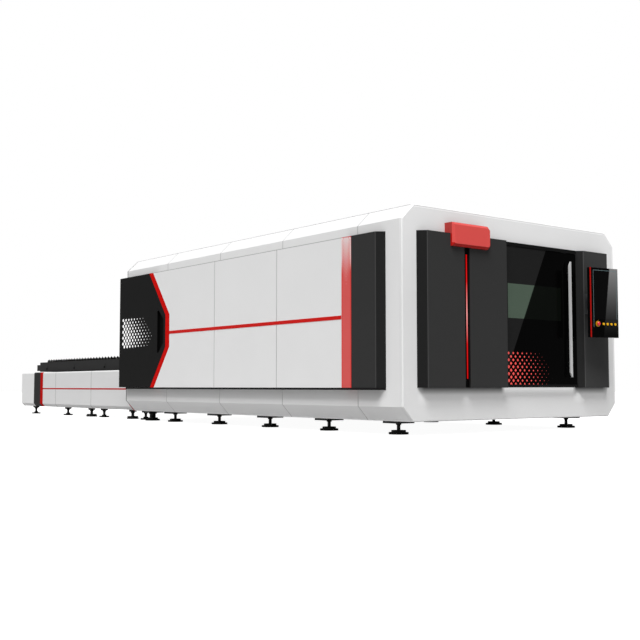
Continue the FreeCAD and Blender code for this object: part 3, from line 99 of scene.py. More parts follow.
class Graph:
    """Short calls for building a shader or geometry node tree."""

    def __init__(self, tree):
        self.tree = tree

    def node(self, kind, inputs=None, **settings):
        """A new node with its settings and its inputs, each a constant or another node's output."""
        made = self.tree.nodes.new(kind)
        for name, value in settings.items():
            setattr(made, name, value)
        for key, value in (inputs or {}).items():
            self.feed(made.inputs[key], value)
        return made

    def feed(self, socket, value):
        """Gives a socket a constant, or links it to another node's output."""
        if isinstance(value, bpy.types.NodeSocket):
            self.tree.links.new(value, socket)
        else:
            socket.default_value = value

    def math(self, operation, first, second=0.0):
        """The result of one sum on two numbers."""
        made = self.node("ShaderNodeMath", {0: first, 1: second}, operation=operation)
        return made.outputs[0]

    def product(self, *values):
        """All the numbers multiplied together."""
        return reduce(lambda first, second: self.math("MULTIPLY", first, second), values)

    def total(self, *values):
        """All the numbers added together."""
        return reduce(lambda first, second: self.math("ADD", first, second), values)

    def least(self, *values):
        """The smallest of the numbers."""
        return reduce(lambda first, second: self.math("MINIMUM", first, second), values)

    def minus(self, first, second):
        """The first number less the second."""
        return self.math("SUBTRACT", first, second)

    def above(self, value, level):
        """1 where a value is over a level, 0 elsewhere."""
        return self.math("GREATER_THAN", value, level)

    def below(self, value, level):
        """1 where a value is under a level, 0 elsewhere."""
        return self.math("LESS_THAN", value, level)

    def inside(self, value, low, high):
        """1 where a value lies between two others, 0 elsewhere."""
        return self.product(self.above(value, low), self.below(value, high))

    def ranged(self, value, low, high, start=0.0, end=1.0):
        """Value mapped from low..high to start..end, held at both ends."""
        keys = {"Value": value, "From Min": low, "From Max": high, "To Min": start, "To Max": end}
        return self.node("ShaderNodeMapRange", keys).outputs["Result"]

    def mixed(self, factor, first, second):
        """A colour between two others."""
        made = self.node("ShaderNodeMix", data_type="RGBA")
        self.feed(made.inputs["Factor"], factor)
        self.feed(made.inputs[6], first)
        self.feed(made.inputs[7], second)
        return made.outputs[2]

    def times(self, colour, factor):
        """A colour multiplied by a number."""
        made = self.node("ShaderNodeVectorMath", {0: colour, "Scale": factor}, operation="SCALE")
        return made.outputs["Vector"]

    def dot(self, vector, direction):
        """How far a vector reaches in a direction."""
        made = self.node("ShaderNodeVectorMath", {0: vector, 1: direction}, operation="DOT_PRODUCT")
        return made.outputs["Value"]


class Finish(Graph):
    """A new material, built up from its shader and its object coordinates."""

    def __init__(self, name, **constants):
        self.material = bpy.data.materials.new(name)
        self.material.use_nodes = True
        super().__init__(self.material.node_tree)
        self.shader = self.tree.nodes["Principled BSDF"]
        self.where = self.node("ShaderNodeTexCoord").outputs["Object"]
        for key, value in constants.items():
            self.set(key.replace("_", " "), value)

    def set(self, socket, value):
        """Gives one of the shader's own sockets a constant or another node's output."""
        self.feed(self.shader.inputs[socket], value)

    def along(self, direction):
        """How far a point of the surface lies in a direction."""
        return self.dot(self.where, tuple(direction))

    @cached_property
    def x(self):
        """How far forward a point lies."""
        return self.along(X_AXIS)

    @cached_property
    def y(self):
        """How far to the right side a point lies."""
        return self.along(Y_AXIS)

    @cached_property
    def z(self):
        """How high a point lies."""
        return self.along(Z_AXIS)

    def noise(self, scale, detail, where=None):
        """A cloudy pattern from 0 to 1, over the object unless other coordinates are given."""
        keys = {"Vector": self.where if where is None else where, "Scale": scale, "Detail": detail}
        return self.node("ShaderNodeTexNoise", keys).outputs["Fac"]

    def blended(self, first, second, scale=CLOUD_SCALE, detail=3.0):
        """A cloudy colour that drifts between two hex tones."""
        return self.mixed(self.noise(scale, detail), linear(first), linear(second))

    def clouded(self, text, low, high, scale=CLOUD_SCALE, detail=3.0):
        """A hex tone that drifts between two factors of its brightness."""
        tone = linear(text)
        return self.mixed(self.noise(scale, detail), scaled(tone, low), scaled(tone, high))

    def bump(self, height, strength, distance):
        """Turns a pattern of heights into the surface's relief."""
        keys = {"Height": height, "Strength": strength, "Distance": distance}
        self.set("Normal", self.node("ShaderNodeBump", keys).outputs["Normal"])

    def orange_peel(self):
        """The fine skin of powder coat."""
        self.bump(self.noise(PEEL_SCALE, detail=1.0), PEEL_STRENGTH, PEEL_DEPTH)

    def up_to(self, value, level):
        """0 to 1 over the last millimetre below a level, which leaves out all but the topmost face."""
        return self.ranged(value, level - FLANGE_BEGINS, level - FLANGE_FULL)

    def lined(self, tint, value, low, high, tone):
        """A tint with a line of another tone between two levels of a value."""
        return self.mixed(self.inside(value, low, high), tint, linear(tone))

    def seamed(self, tint, first, pitch, count):
        """A tint with soft shadow gaps along X: the first gap, their pitch and their number."""
        steps = self.math("DIVIDE", self.minus(first, self.x), pitch)
        nearest = self.least(self.math("MAXIMUM", self.math("ROUND", steps), 0.0), count - 1.0)
        away = self.math("ABSOLUTE", self.minus(steps, nearest))
        clear = self.ranged(away, (SEAM_REACH - SEAM_SOFTNESS) / pitch, (SEAM_REACH + SEAM_SOFTNESS) / pitch)
        return self.mixed(clear, linear(SEAM_TONE), tint)

    def across(self, low, high, before, after):
        """1 between two places along Y; each end is soft from a way before its place to a way after it."""
        from_low = self.ranged(self.y, low - before, low + after)
        from_high = self.ranged(self.y, high + before, high - after)
        return self.product(from_low, from_high)

    def sheen_side(self, low, high, facing):
        """0 to 1 across the straight edge of a painted reflection that runs between two points of a flat
        face.
        """
        outward = (high - low).cross(Vector(facing)).normalized()
        edge = outward.dot(low)
        return self.ranged(self.along(outward), edge - SHEEN_SOFTNESS, edge + SHEEN_SOFTNESS)


# ---------------------------------------------------------------- view, light and floor
CAMERA_PLACE = (6.79, -7.896, 0.468)
CAMERA_YAW = math.radians(37.937)
CAMERA_PITCH = math.radians(3.836)
CAMERA_LENS = 55.668
CAMERA_SENSOR = 36.0
CAMERA_REACH = 500.0
SKY_LIGHT = 0.32
SUN_STRENGTH = 3.8
SUN_FROM = (0.4, -0.4, 1.0)
SUN_SPREAD = math.radians(30)
FLOOR_SIZE = 120.0
FLOOR_GLOW = 0.96


def set_camera():
    """The camera at the height and angle that the machine is looked at from."""
    data = bpy.data.cameras.new("camera")
    data.lens = CAMERA_LENS
    data.sensor_width = CAMERA_SENSOR
    data.clip_end = CAMERA_REACH
    camera = bpy.data.objects.new("camera", data)
    flat = math.cos(CAMERA_PITCH)
    forward = Vector((-math.cos(CAMERA_YAW) * flat, math.sin(CAMERA_YAW) * flat, math.sin(CAMERA_PITCH)))
    camera.location = at(*CAMERA_PLACE)
    camera.rotation_euler = forward.to_track_quat("-Z", "Y").to_euler()
    bpy.context.scene.collection.objects.link(camera)
    bpy.context.scene.camera = camera


def set_light():
    """A white room and one broad soft light from above the front corner."""
    scene = bpy.context.scene
    scene.view_settings.view_transform = "Standard"
    world = bpy.data.worlds.new("studio")
    world.use_nodes = True
    scene.world = world
    graph = Graph(world.node_tree)
    graph.tree.nodes.clear()
    seen = graph.node("ShaderNodeBackground", {"Color": WHITE}).outputs[0]
    room = graph.node("ShaderNodeBackground", {"Color": WHITE, "Strength": SKY_LIGHT}).outputs[0]
    by_camera = graph.node("ShaderNodeLightPath").outputs["Is Camera Ray"]
    either = graph.node("ShaderNodeMixShader", {"Fac": by_camera, 1: room, 2: seen}).outputs[0]
    graph.node("ShaderNodeOutputWorld", {"Surface": either})
    sun = bpy.data.lights.new("overhead_light", "SUN")
    sun.energy = SUN_STRENGTH
    sun.angle = SUN_SPREAD
    lamp = bpy.data.objects.new("overhead_light", sun)
    lamp.rotation_euler = Vector(SUN_FROM).to_track_quat("Z", "Y").to_euler()
    scene.collection.objects.link(lamp)


def floor():
    """The plain pale floor."""
    work = bmesh.new()
    bmesh.ops.create_grid(work, x_segments=8, y_segments=8, size=FLOOR_SIZE / 2)
    mesh = bpy.data.meshes.new("floor")
    work.to_mesh(mesh)
    work.free()
    ground = bpy.data.objects.new("floor", mesh)
    bpy.context.scene.collection.objects.link(ground)
    paint = Finish("floor_paint", Roughness=0.9, Specular_IOR_Level=0.0, Emission_Color=WHITE)
    paint.set("Base Color", paint.blended("#b2b2b2", "#b7b7b7", FLOOR_SCALE))
    by_camera = paint.node("ShaderNodeLightPath").outputs["Is Camera Ray"]
    paint.set("Emission Strength", paint.product(by_camera, FLOOR_GLOW))
    mesh.materials.append(paint.material)


# ---------------------------------------------------------------- plain finishes
def powder_coat(name, colour, specular, roughness=0.5):
    """Powder-coated sheet: an even colour with a faint cloudiness and a fine orange-peel skin."""
    coat = Finish(name, Roughness=roughness, Specular_IOR_Level=specular)
    coat.set("Base Color", coat.clouded(colour, 0.97, 1.03))
    coat.orange_peel()
    return coat.material


def machined(name, colour, roughness, stretch):
    """Ground or rolled metal with fine lines; the stretch is small on the axis that they follow."""
    metal = Finish(name, Metallic=1.0)
    drawn = metal.node("ShaderNodeMapping", {"Vector": metal.where, "Scale": stretch}).outputs["Vector"]
    lines = metal.noise(LINE_SCALE, detail=4.0, where=drawn)
    tone = linear(colour)
    metal.set("Base Color", metal.mixed(lines, scaled(tone, 0.88), scaled(tone, 1.12)))
    metal.set("Roughness", metal.ranged(lines, *NOISE_SPAN, roughness * 0.8, roughness * 1.25))
    metal.bump(lines, strength=0.15, distance=0.0005)
    return metal.material


def moulded(name, colour, roughness, specular=0.5, coat=0.0):
    """Moulded plastic or rubber with a fine leathery grain."""
    plastic = Finish(name, Roughness=roughness, Specular_IOR_Level=specular, Coat_Weight=coat)
    plastic.set("Base Color", plastic.clouded(colour, 0.92, 1.06, BLOTCH_SCALE, detail=2.0))
    plastic.bump(plastic.noise(LEATHER_SCALE, detail=2.0), strength=0.15, distance=0.0003)
    return plastic.material


SPATTER_FOOT = 0.05
SPATTER_FULL = 0.005


def cut_steel():
    """Slats of plain steel: mill scale below, bare and spattered along the cut tips."""
    steel = Finish("slat_steel", Metallic=0.55)
    patches = steel.noise(MILL_SCALE, detail=5.0)
    specks = steel.noise(SPATTER_SCALE, detail=3.0)
    scaly = steel.mixed(patches, linear("#232425"), linear("#3b3937"))
    spattered = steel.mixed(specks, linear("#2b2725"), linear("#6a6460"))
    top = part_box("upper_slats")[1].z
    tips = steel.ranged(steel.z, top - SPATTER_FOOT, top - SPATTER_FULL)
    steel.set("Base Color", steel.mixed(tips, scaly, spattered))
    steel.set("Roughness", steel.ranged(patches, *NOISE_SPAN, 0.45, 0.75))
    steel.bump(specks, strength=0.4, distance=0.001)
    return steel.material


def galvanised():
    """Zinc-coated sheet with its broad crystal pattern."""
    zinc = Finish("zinc_sheet", Metallic=0.85)
    crystals = zinc.node("ShaderNodeTexVoronoi", {"Vector": zinc.where, "Scale": CRYSTAL_SCALE})
    shade = zinc.dot(crystals.outputs["Color"], (0.4, 0.3, 0.3))
    zinc.set("Base Color", zinc.mixed(shade, linear("#85898b"), linear("#b4b8ba")))
    zinc.set("Roughness", zinc.ranged(shade, 0.0, 1.0, 0.35, 0.6))
    return zinc.material


def printed_ink(name, bright, faint, painted_glow_strength=0.0):
    """Printed dots whose ink thins out towards the end of the pattern; the bright ink may carry a painted
    glow.
    """
    paint = Finish(name, Roughness=0.5, Specular_IOR_Level=0.2)
    paint.set("Emission Color", linear(bright))
    # Painted glow: the ink gives off light though it is no lamp.
    paint.set("Emission Strength", painted_glow_strength)
    ink = paint.node("ShaderNodeAttribute", attribute_name="ink").outputs["Fac"]
    paint.set("Base Color", paint.mixed(ink, linear(faint), linear(bright)))
    return paint.material


# ---------------------------------------------------------------- raised covers
COVER_FACE_Y = 1.71
PULL_DEPTH = 0.013
SLOT_DEPTH = 0.028
SLOT_REACH = 0.09
# Painted shade: the near black of a recess floor.
RECESS_SHADE_TONE = "#080808"
RECESS_BEGINS = 0.002
RECESS_FULL = 0.0005
# Painted highlight along the edge of a cover's face: how much brighter than the face, where it begins and
# where it is full.
GLINT = 1.5
GLINT_BEGINS = 0.008
GLINT_FULL = 0.005


def raised_coat(name, face_tone, shaded_side_tone, direction, level, floor_depth=None, slot_at=None):
    """Powder coat on a raised cover: its face, painted shade on its darker slanted sides, a painted glint
    along the face's edge, and painted shade on the floor of its recess.

    A recess is painted black all over as shade, or, where slot_at is given, only near the light's slot.
    """
    coat = Finish(name, Roughness=0.55, Specular_IOR_Level=0.04)
    height = coat.math("ABSOLUTE", coat.along(direction))
    # The slanted sides take a darker tone as painted shade.
    side = linear(shaded_side_tone)
    if floor_depth:
        floor_level = level - floor_depth
        recess = coat.ranged(height, floor_level + RECESS_BEGINS, floor_level + RECESS_FULL)
        if slot_at is not None:
            recess = coat.product(recess, coat.inside(coat.y, slot_at - SLOT_REACH, slot_at + SLOT_REACH))
        side = coat.mixed(recess, side, linear(RECESS_SHADE_TONE))
    # Painted highlight along the face's edge.
    rim = coat.ranged(height, level - GLINT_BEGINS, level - GLINT_FULL)
    side = coat.mixed(rim, side, scaled(linear(face_tone), GLINT))
    face = coat.clouded(face_tone, 0.96, 1.04)
    coat.set("Base Color", coat.mixed(coat.up_to(height, level), side, face))
    coat.orange_peel()
    return coat.material


def front_coat(node, face_tone, shaded_side_tone, floor_depth=None):
    """The finish of a cover on the front wall, with painted shade in the light's slot."""
    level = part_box(node)[1].x
    slot_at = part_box("status_light")[0].y
    return raised_coat(f"{node}_coat", face_tone, shaded_side_tone, X_AXIS, level, floor_depth, slot_at)


def side_coat(name, face_tone, shaded_side_tone, floor_depth=None):
    """The finish of a raised cover on the long sides."""
    return raised_coat(name, face_tone, shaded_side_tone, Y_AXIS, COVER_FACE_Y, floor_depth)


# ---------------------------------------------------------------- white coats
COVER_LOW, COVER_TOP = (corner.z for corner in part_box("side_panels"))
CABIN_REAR = FRONT - 5.580
CABIN_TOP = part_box("roof_panels")[1].z
CABIN_FOOT = 0.135
CABIN_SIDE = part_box("front_wall")[1].y
ROOF_SLOPE_FOOT = Vector((0.0, CABIN_SIDE, CABIN_TOP - 0.150))
ROOF_SLOPE_OUT = Vector((0.0, 0.150, 0.155)).normalized()

WHITE_TONE = "#e6e6e6"
LINE_TONE = "#a8a8a8"
FOLD_TONE = "#6a6a6a"
REAR_EDGE_TONE = "#2c2c2c"

# Seams: the first one, their pitch and their number.
SECTION_LENGTH = 1.267
SECTION_SEAMS = (FRONT - 0.642, SECTION_LENGTH, 4)
COVER_SEAMS = (FRONT - 0.642 - SECTION_LENGTH, SECTION_LENGTH, 2)
TABLE_SEAMS = (FRONT - 8.740, FRONT - 7.395)
TABLE_SEAM_REACH = 0.007

# Lines, from one level to another.
REAR_EDGE = (CABIN_REAR + 0.0005, CABIN_REAR + 0.024)
ROOF_FOLD = (CABIN_TOP - 0.005, CABIN_TOP - 0.0004)
COVER_EDGE = (COVER_TOP - 0.007, COVER_TOP + 0.001)

# Tones that change over a span: where they begin, where they are full, and the value at each.
SIDE_SHADE = (COVER_LOW - 0.140, COVER_LOW - 0.040, 0.0, 0.34)
# Painted light: the lower slope and the edge at its foot are brightened.
LOWER_SLOPE_LIGHT = (0.215, CABIN_FOOT, 0.0, 0.10)
LOWER_RIM_LIGHT = (CABIN_FOOT + 0.016, CABIN_FOOT + 0.011, 0.0, 0.12)
# Painted light: the front wall grows paler towards its top.
PAINTED_TOP_LIGHT = (1.3, 2.15, 1.0, 1.12)
FRONT_SHADE = (COVER_LOW - 0.060, COVER_LOW - 0.003, 0.0, 0.85)
# Painted light: a brighter band on the front wall below the covers' painted shade.
GLOW_ABOVE = (COVER_LOW - 0.055, COVER_LOW - 0.075)
GLOW_BELOW = (COVER_LOW - 0.175, COVER_LOW - 0.105, 0.0, 0.17)
# Painted light, given as emission: the wall below the door and the lip just under the covers.
SILL_GLOW = (COVER_LOW - 0.085, COVER_LOW - 0.030, 0.0, 0.26)
SILL_LIP = (COVER_LOW - 0.024, COVER_LOW - 0.018, 0.0, 0.12)

# Soft ends of the shaded parts: how far before an edge they begin, and how far after it they are full.
CORNER_SOFT = (0.03, 0.10)
DOORWAY_SOFT = (0.015, 0.045)
COVERS_SOFT = (0.01, 0.09)

# The front face is set in from the cabin's outline; inwards follow its own outline and a band of painted
# highlight.
FACE_INSET = 0.009
FACE_DEPTH = 0.0005
OUTLINE_WIDTH = 0.008
OUTLINE_TONE = "#dadada"
RIM_WIDTH = 0.009


def white_finish(name, colour=WHITE_TONE):
    """White powder coat and its slightly cloudy tint, before any seam or shade is laid over that."""
    coat = Finish(name, Roughness=0.45, Specular_IOR_Level=0.3)
    coat.orange_peel()
    return coat, coat.clouded(colour, 0.98, 1.02)


def shade_under_covers(coat, span):
    """The shade on a wall close under the covers, which ends at their lower edge."""
    return coat.product(coat.ranged(coat.z, *span), coat.below(coat.z, COVER_LOW))


def white_coat(name, colour):
    """Plain white powder coat."""
    coat, tint = white_finish(name, colour)
    coat.set("Base Color", tint)
    return coat.material


def rear_wall_coat():
    """White powder coat with a thin shadow line along the cabin's rear edge."""
    coat, tint = white_finish("rear_wall_coat")
    coat.set("Base Color", coat.lined(tint, coat.x, *REAR_EDGE, REAR_EDGE_TONE))
    return coat.material


def section_coat():
    """White wall and roof sections: seams, a fold line on the roof, painted shade under the side covers, and
    painted light on the lower slope and along its foot.
    """
    coat, tint = white_finish("section_coat")
    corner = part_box("side_corner_covers")[1].x
    behind_corner = coat.ranged(coat.x, corner + CORNER_SOFT[0], corner - CORNER_SOFT[1])
    shade = coat.product(shade_under_covers(coat, SIDE_SHADE), behind_corner)
    # Painted light on the lower slope and along its foot.
    slope = coat.ranged(coat.z, *LOWER_SLOPE_LIGHT)
    rim = coat.ranged(coat.z, *LOWER_RIM_LIGHT)
    tint = coat.times(tint, coat.total(coat.minus(1.0, shade), slope, rim))
    tint = coat.seamed(tint, *SECTION_SEAMS)
    coat.set("Base Color", coat.lined(tint, coat.z, *ROOF_FOLD, FOLD_TONE))
    return coat.material


def side_panel_coat():
    """White side covers with their two seams and a fine line along the top edge."""
    coat, tint = white_finish("side_panel_coat")
    tint = coat.seamed(tint, *COVER_SEAMS)
    coat.set("Base Color", coat.lined(tint, coat.z, *COVER_EDGE, LINE_TONE))
    return coat.material


def table_panel_coat():
    """Table covers of a tone a little darker than the cabin's white, with a fine shadow gap at each seam."""
    coat, tint = white_finish("table_panel_coat", "#d9d9d9")
    for seam in TABLE_SEAMS:
        tint = coat.lined(tint, coat.x, seam - TABLE_SEAM_REACH, seam + TABLE_SEAM_REACH, LINE_TONE)
    coat.set("Base Color", tint)
    return coat.material


def inside_outline(coat):
    """How far a point of the front wall lies inside the outline of its own front face."""
    from_top = coat.minus(CABIN_TOP, coat.z)
    from_side = coat.minus(CABIN_SIDE, coat.y)
    from_slope = coat.minus(ROOF_SLOPE_OUT.dot(ROOF_SLOPE_FOOT), coat.along(ROOF_SLOPE_OUT))
    return coat.minus(coat.least(from_top, from_slope, from_side), FACE_INSET)


def front_wall_coat():
    """White front wall with painted light and shade: paler towards the top, painted shade under the covers
    with a painted brighter band below it, painted light below the door given as emission, and a painted
    white highlight inside the face's grey outline.
    """
    coat, tint = white_finish("front_wall_coat", "#e3e3e3")
    outer, inner, pillar = map(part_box, ("front_cover_outer", "front_cover_inner", "front_pillar"))
    doorway = coat.across(inner[1].y, pillar[0].y, *DOORWAY_SOFT)
    covers = coat.across(outer[0].y, pillar[1].y, *COVERS_SOFT)
    covered = coat.product(covers, coat.minus(1.0, doorway))
    glow = coat.product(coat.ranged(coat.z, *GLOW_ABOVE), coat.ranged(coat.z, *GLOW_BELOW))
    change = coat.minus(glow, shade_under_covers(coat, FRONT_SHADE))
    shade = coat.total(1.0, coat.product(covered, change))
    tint = coat.times(tint, coat.product(coat.ranged(coat.z, *PAINTED_TOP_LIGHT), shade))
    reach = inside_outline(coat)
    on_face = coat.above(coat.x, FRONT - FACE_DEPTH)
    rim = coat.product(on_face, coat.inside(reach, OUTLINE_WIDTH, OUTLINE_WIDTH + RIM_WIDTH))
    outline = coat.product(on_face, coat.below(reach, OUTLINE_WIDTH))
    # Painted highlight: a white band inside the face's outline.
    tint = coat.mixed(rim, tint, WHITE)
    coat.set("Base Color", coat.mixed(outline, tint, linear(OUTLINE_TONE)))
    # Painted light below the door, given as emission.
    bright = coat.total(coat.ranged(coat.z, *SILL_GLOW), coat.ranged(coat.z, *SILL_LIP))
    coat.set("Emission Color", WHITE)
    coat.set("Emission Strength", coat.product(doorway, bright, coat.below(coat.z, COVER_LOW)))
    return coat.material


def bed_frame_coat():
    """Grey bed on black foot plates."""
    coat = Finish("bed_frame_coat", Roughness=0.45, Specular_IOR_Level=0.5)
    plates = coat.below(coat.z, CABIN_FOOT + HAIR)
    grey = coat.blended("#96989a", "#9ea0a2")
    coat.set("Base Color", coat.mixed(plates, grey, linear("#0c0c0c")))
    coat.orange_peel()
    return coat.material


# ---------------------------------------------------------------- red trims and the door's handle
# Painted shade on the top flanges of the red trims, which keeps their bounced red light off the white walls.
TRIM_TOP_PAINTED_SHADE = "#2a0706"
HANDLE_THICKNESS = 0.014
BAND_MIDDLE = FRONT - 0.725
BAND_HALF = 0.075
BAND_EDGE = (BAND_HALF - 0.016, BAND_HALF - 0.011)
BAND_END = (BAND_HALF + 0.002, BAND_HALF + 0.004)
# Where the sign's painted light and shade change: top bevel, lower bevel, the turn on its near side, the
# near side and the face.
SIGN_TOP_BEVEL = (0.030, 0.022)
SIGN_LOW_BEVEL = (0.034, 0.030)
SIGN_FLANK_TURN = (0.115, 0.105)
SIGN_SIDE = (0.002, 0.001)
SIGN_FACE = (0.0025, 0.001)
HANDLE_BACK = (0.003, 0.001)


def chevron_coat():
    """Red chevron trim, with painted shade on its top flange."""
    coat = Finish("chevron_coat", Roughness=0.5, Specular_IOR_Level=0.03)
    red = coat.blended("#c40a05", "#cc0a05")
    flange = coat.above(coat.z, COVER_TOP - HAIR)
    coat.set("Base Color", coat.mixed(flange, red, linear(TRIM_TOP_PAINTED_SHADE)))
    return coat.material


def red_band_coat():
    """Pale red band with deeper edges; the thin line that runs on from it is deep red."""
    coat = Finish("red_band_coat", Roughness=0.4, Specular_IOR_Level=0.15)
    from_middle = coat.math("ABSOLUTE", coat.minus(coat.x, BAND_MIDDLE))
    pale = coat.blended("#d35452", "#da5c59")
    banded = coat.mixed(coat.ranged(from_middle, *BAND_EDGE), pale, linear("#dc3c37"))
    painted = coat.mixed(coat.ranged(from_middle, *BAND_END), banded, linear("#cc0f08"))
    # Painted shade on the band's top flange.
    flange = coat.up_to(coat.z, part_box("side_red_trims")[1].z)
    coat.set("Base Color", coat.mixed(flange, painted, linear(TRIM_TOP_PAINTED_SHADE)))
    return coat.material


def sign_coat():
    """Gloss red block: pink face, with painted light on the paler top bevel and painted shade on the deep
    red lower bevel, the near side and the dark top edge.
    """
    coat = Finish("sign_coat", Roughness=0.4, Specular_IOR_Level=0.15)
    low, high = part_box("sign_block")
    top_bevel = coat.ranged(coat.z, *(high.z - depth for depth in SIGN_TOP_BEVEL))
    low_bevel = coat.ranged(coat.z, *(low.z + depth for depth in SIGN_LOW_BEVEL))
    far_down = coat.ranged(coat.z, *(high.z - depth for depth in SIGN_FLANK_TURN), 1.0, 0.0)
    near_side = coat.ranged(coat.y, *(low.y + depth for depth in SIGN_SIDE))
    face = coat.ranged(coat.x, *(high.x - depth for depth in SIGN_FACE))
    # Painted light on the top bevel; painted shade on the lower bevel, on the near side (deeper red low
    # down) and on the dark top edge.
    red = coat.mixed(top_bevel, linear("#d54e4a"), linear("#da5350"))
    red = coat.mixed(low_bevel, red, linear("#ac100a"))
    shaded_flank = coat.mixed(far_down, linear("#b53a36"), linear("#b8120a"))
    red = coat.mixed(near_side, red, shaded_flank)
    red = coat.mixed(coat.up_to(coat.z, high.z), red, linear("#701412"))
    coat.set("Base Color", coat.mixed(face, red, linear("#dc504c")))
    return coat.material


def handle_coat():
    """Pale satin bar; the posts behind it are black."""
    coat = Finish("handle_coat", Roughness=0.35, Specular_IOR_Level=0.3)
    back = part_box("door_handle")[1].x - HANDLE_THICKNESS
    bar = coat.ranged(coat.x, *(back - depth for depth in HANDLE_BACK))
    pale = coat.blended("#bdbdbd", "#c6c6c6")
    coat.set("Base Color", coat.mixed(bar, linear("#0a0a0a"), pale))
    return coat.material


# ---------------------------------------------------------------- glossy door, control panel and light
DOOR_FACE_X = 0.04
# The straight edge of the painted reflection on the door and its window runs between these two points.
DOOR_SHEEN = (at(DOOR_FACE_X, -0.129, 0.829), at(DOOR_FACE_X, 0.405, 1.915))
PANEL_TURN = math.radians(-8.4)
PANEL_FACE = at(0.290, 1.054, 0.0)
PANEL_SPAN = (0.992, 1.742)
# Where the painted reflection on the panel's glass starts at its foot and at its top, and how it brightens
# upward.
PANEL_SHEEN_FOOT = -0.012
PANEL_SHEEN_TOP = 0.085
PANEL_SHEEN_CURVE = 1.8
STRIP_BLACK_SHARE = 0.35
LIGHT_ENDS = "#cc0404"
LIGHT_STOPS = ((0.28, "#dc1818"), (0.52, "#f89e9c"), (0.78, "#dc1818"))

# How wide the strip's dark edges are, at its foot and at its top.
LIGHT_LEFT_EDGE = (0.0045, 0.0010)
LIGHT_RIGHT_EDGE = (0.0005, 0.0035)


def door_gloss(name, dark, light, roughness):
    """High-gloss door finish: a deep tone and a paler painted reflection that part along a slanted line."""
    gloss = Finish(name, Roughness=roughness, Specular_IOR_Level=0.02)
    pale = gloss.clouded(light, 0.95, 1.05, GLOSS_SCALE, detail=2.0)
    deep = gloss.clouded(dark, 0.85, 1.15, GLOSS_SCALE, detail=2.0)
    gloss.set("Base Color", gloss.mixed(gloss.sheen_side(*DOOR_SHEEN, X_AXIS), pale, deep))
    gloss.bump(gloss.noise(RIPPLE_SCALE, detail=1.0), strength=0.04, distance=0.001)
    return gloss.material


def panel_way(out, across):
    """A direction given from the control panel's face, turned with the panel."""
    return Matrix.Rotation(PANEL_TURN, 3, "Z") @ Vector((out, across, 0.0))


def panel_point(out, across, height):
    """A point given from the middle of the control panel's face, turned with the panel."""
    return PANEL_FACE + panel_way(out, across) + Vector((0.0, 0.0, height))


def panel_gloss(name, dark):
    """Black glass of the control panel with a painted grey reflection that brightens towards its upper right
    corner.
    """
    glass = Finish(name, Roughness=0.12, Specular_IOR_Level=0.03)
    low = panel_point(0.0, PANEL_SHEEN_FOOT, PANEL_SPAN[0])
    high = panel_point(0.0, PANEL_SHEEN_TOP, PANEL_SPAN[1])
    side = glass.sheen_side(low, high, panel_way(1.0, 0.0))
    rise = glass.math("POWER", glass.ranged(glass.z, *PANEL_SPAN), PANEL_SHEEN_CURVE)
    sheen = glass.mixed(rise, linear("#0b0b0b"), linear("#838383"))
    deep = glass.clouded(dark, 0.8, 1.2, GLASS_SCALE, detail=2.0)
    glass.set("Base Color", glass.mixed(side, deep, sheen))
    return glass.material


def edge_strip_coat():
    """Red strip down the panel's left edge, black on the part that turns in towards the screen."""
    coat = Finish("red_strip", Roughness=0.4, Specular_IOR_Level=0.05)
    across = panel_way(0.0, 1.0)
    places = [across.dot(point.co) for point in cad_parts["panel_strip"].data.vertices]
    low, high = min(places), max(places)
    turned_in = coat.above(coat.along(across), high - STRIP_BLACK_SHARE * (high - low))
    coat.set("Base Color", coat.mixed(turned_in, linear("#ab1009"), linear("#0a0a0a")))
    return coat.material


def glowing_strip():
    """Light strip: red at both ends, paler towards the middle, and dark along its two edges."""
    strip = Finish("light_strip", Roughness=0.35, Specular_IOR_Level=0.05)
    low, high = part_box("status_light")
    left_edge = strip.ranged(strip.z, low.z, high.z, *(low.y + width for width in LIGHT_LEFT_EDGE))
    right_edge = strip.ranged(strip.z, low.z, high.z, *(high.y - width for width in LIGHT_RIGHT_EDGE))
    ramp = strip.node("ShaderNodeValToRGB", {"Fac": strip.ranged(strip.z, low.z, high.z)})
    stops = ramp.color_ramp.elements
    stops[0].color = stops[1].color = linear(LIGHT_ENDS)
    for place, colour in LIGHT_STOPS:
        stops.new(place).color = linear(colour)
    strip.set("Emission Color", ramp.outputs["Color"])
    strip.set("Emission Strength", strip.inside(strip.y, left_edge, right_edge))
    strip.set("Base Color", linear("#140202"))
    return strip.material


# ---------------------------------------------------------------- what each solid is painted with
MATT_BLACK = powder_coat("matt_black", "#0a0a0a", specular=0.04, roughness=0.7)
RED_COAT = powder_coat("red_coat", "#b60402", specular=0.02)
# Black rubber; the painted shadow strip under the side covers shares it.
RUBBER_AND_SHADOW_BLACK = moulded("black_rubber", "#161616", roughness=0.65, specular=0.3)
BORDER_PRINT = moulded("border_print", "#6d8184", roughness=0.5, specular=0.1)
LINES_ON_X = (1.0, 40.0, 40.0)
LINES_ON_Z = (40.0, 40.0, 1.0)

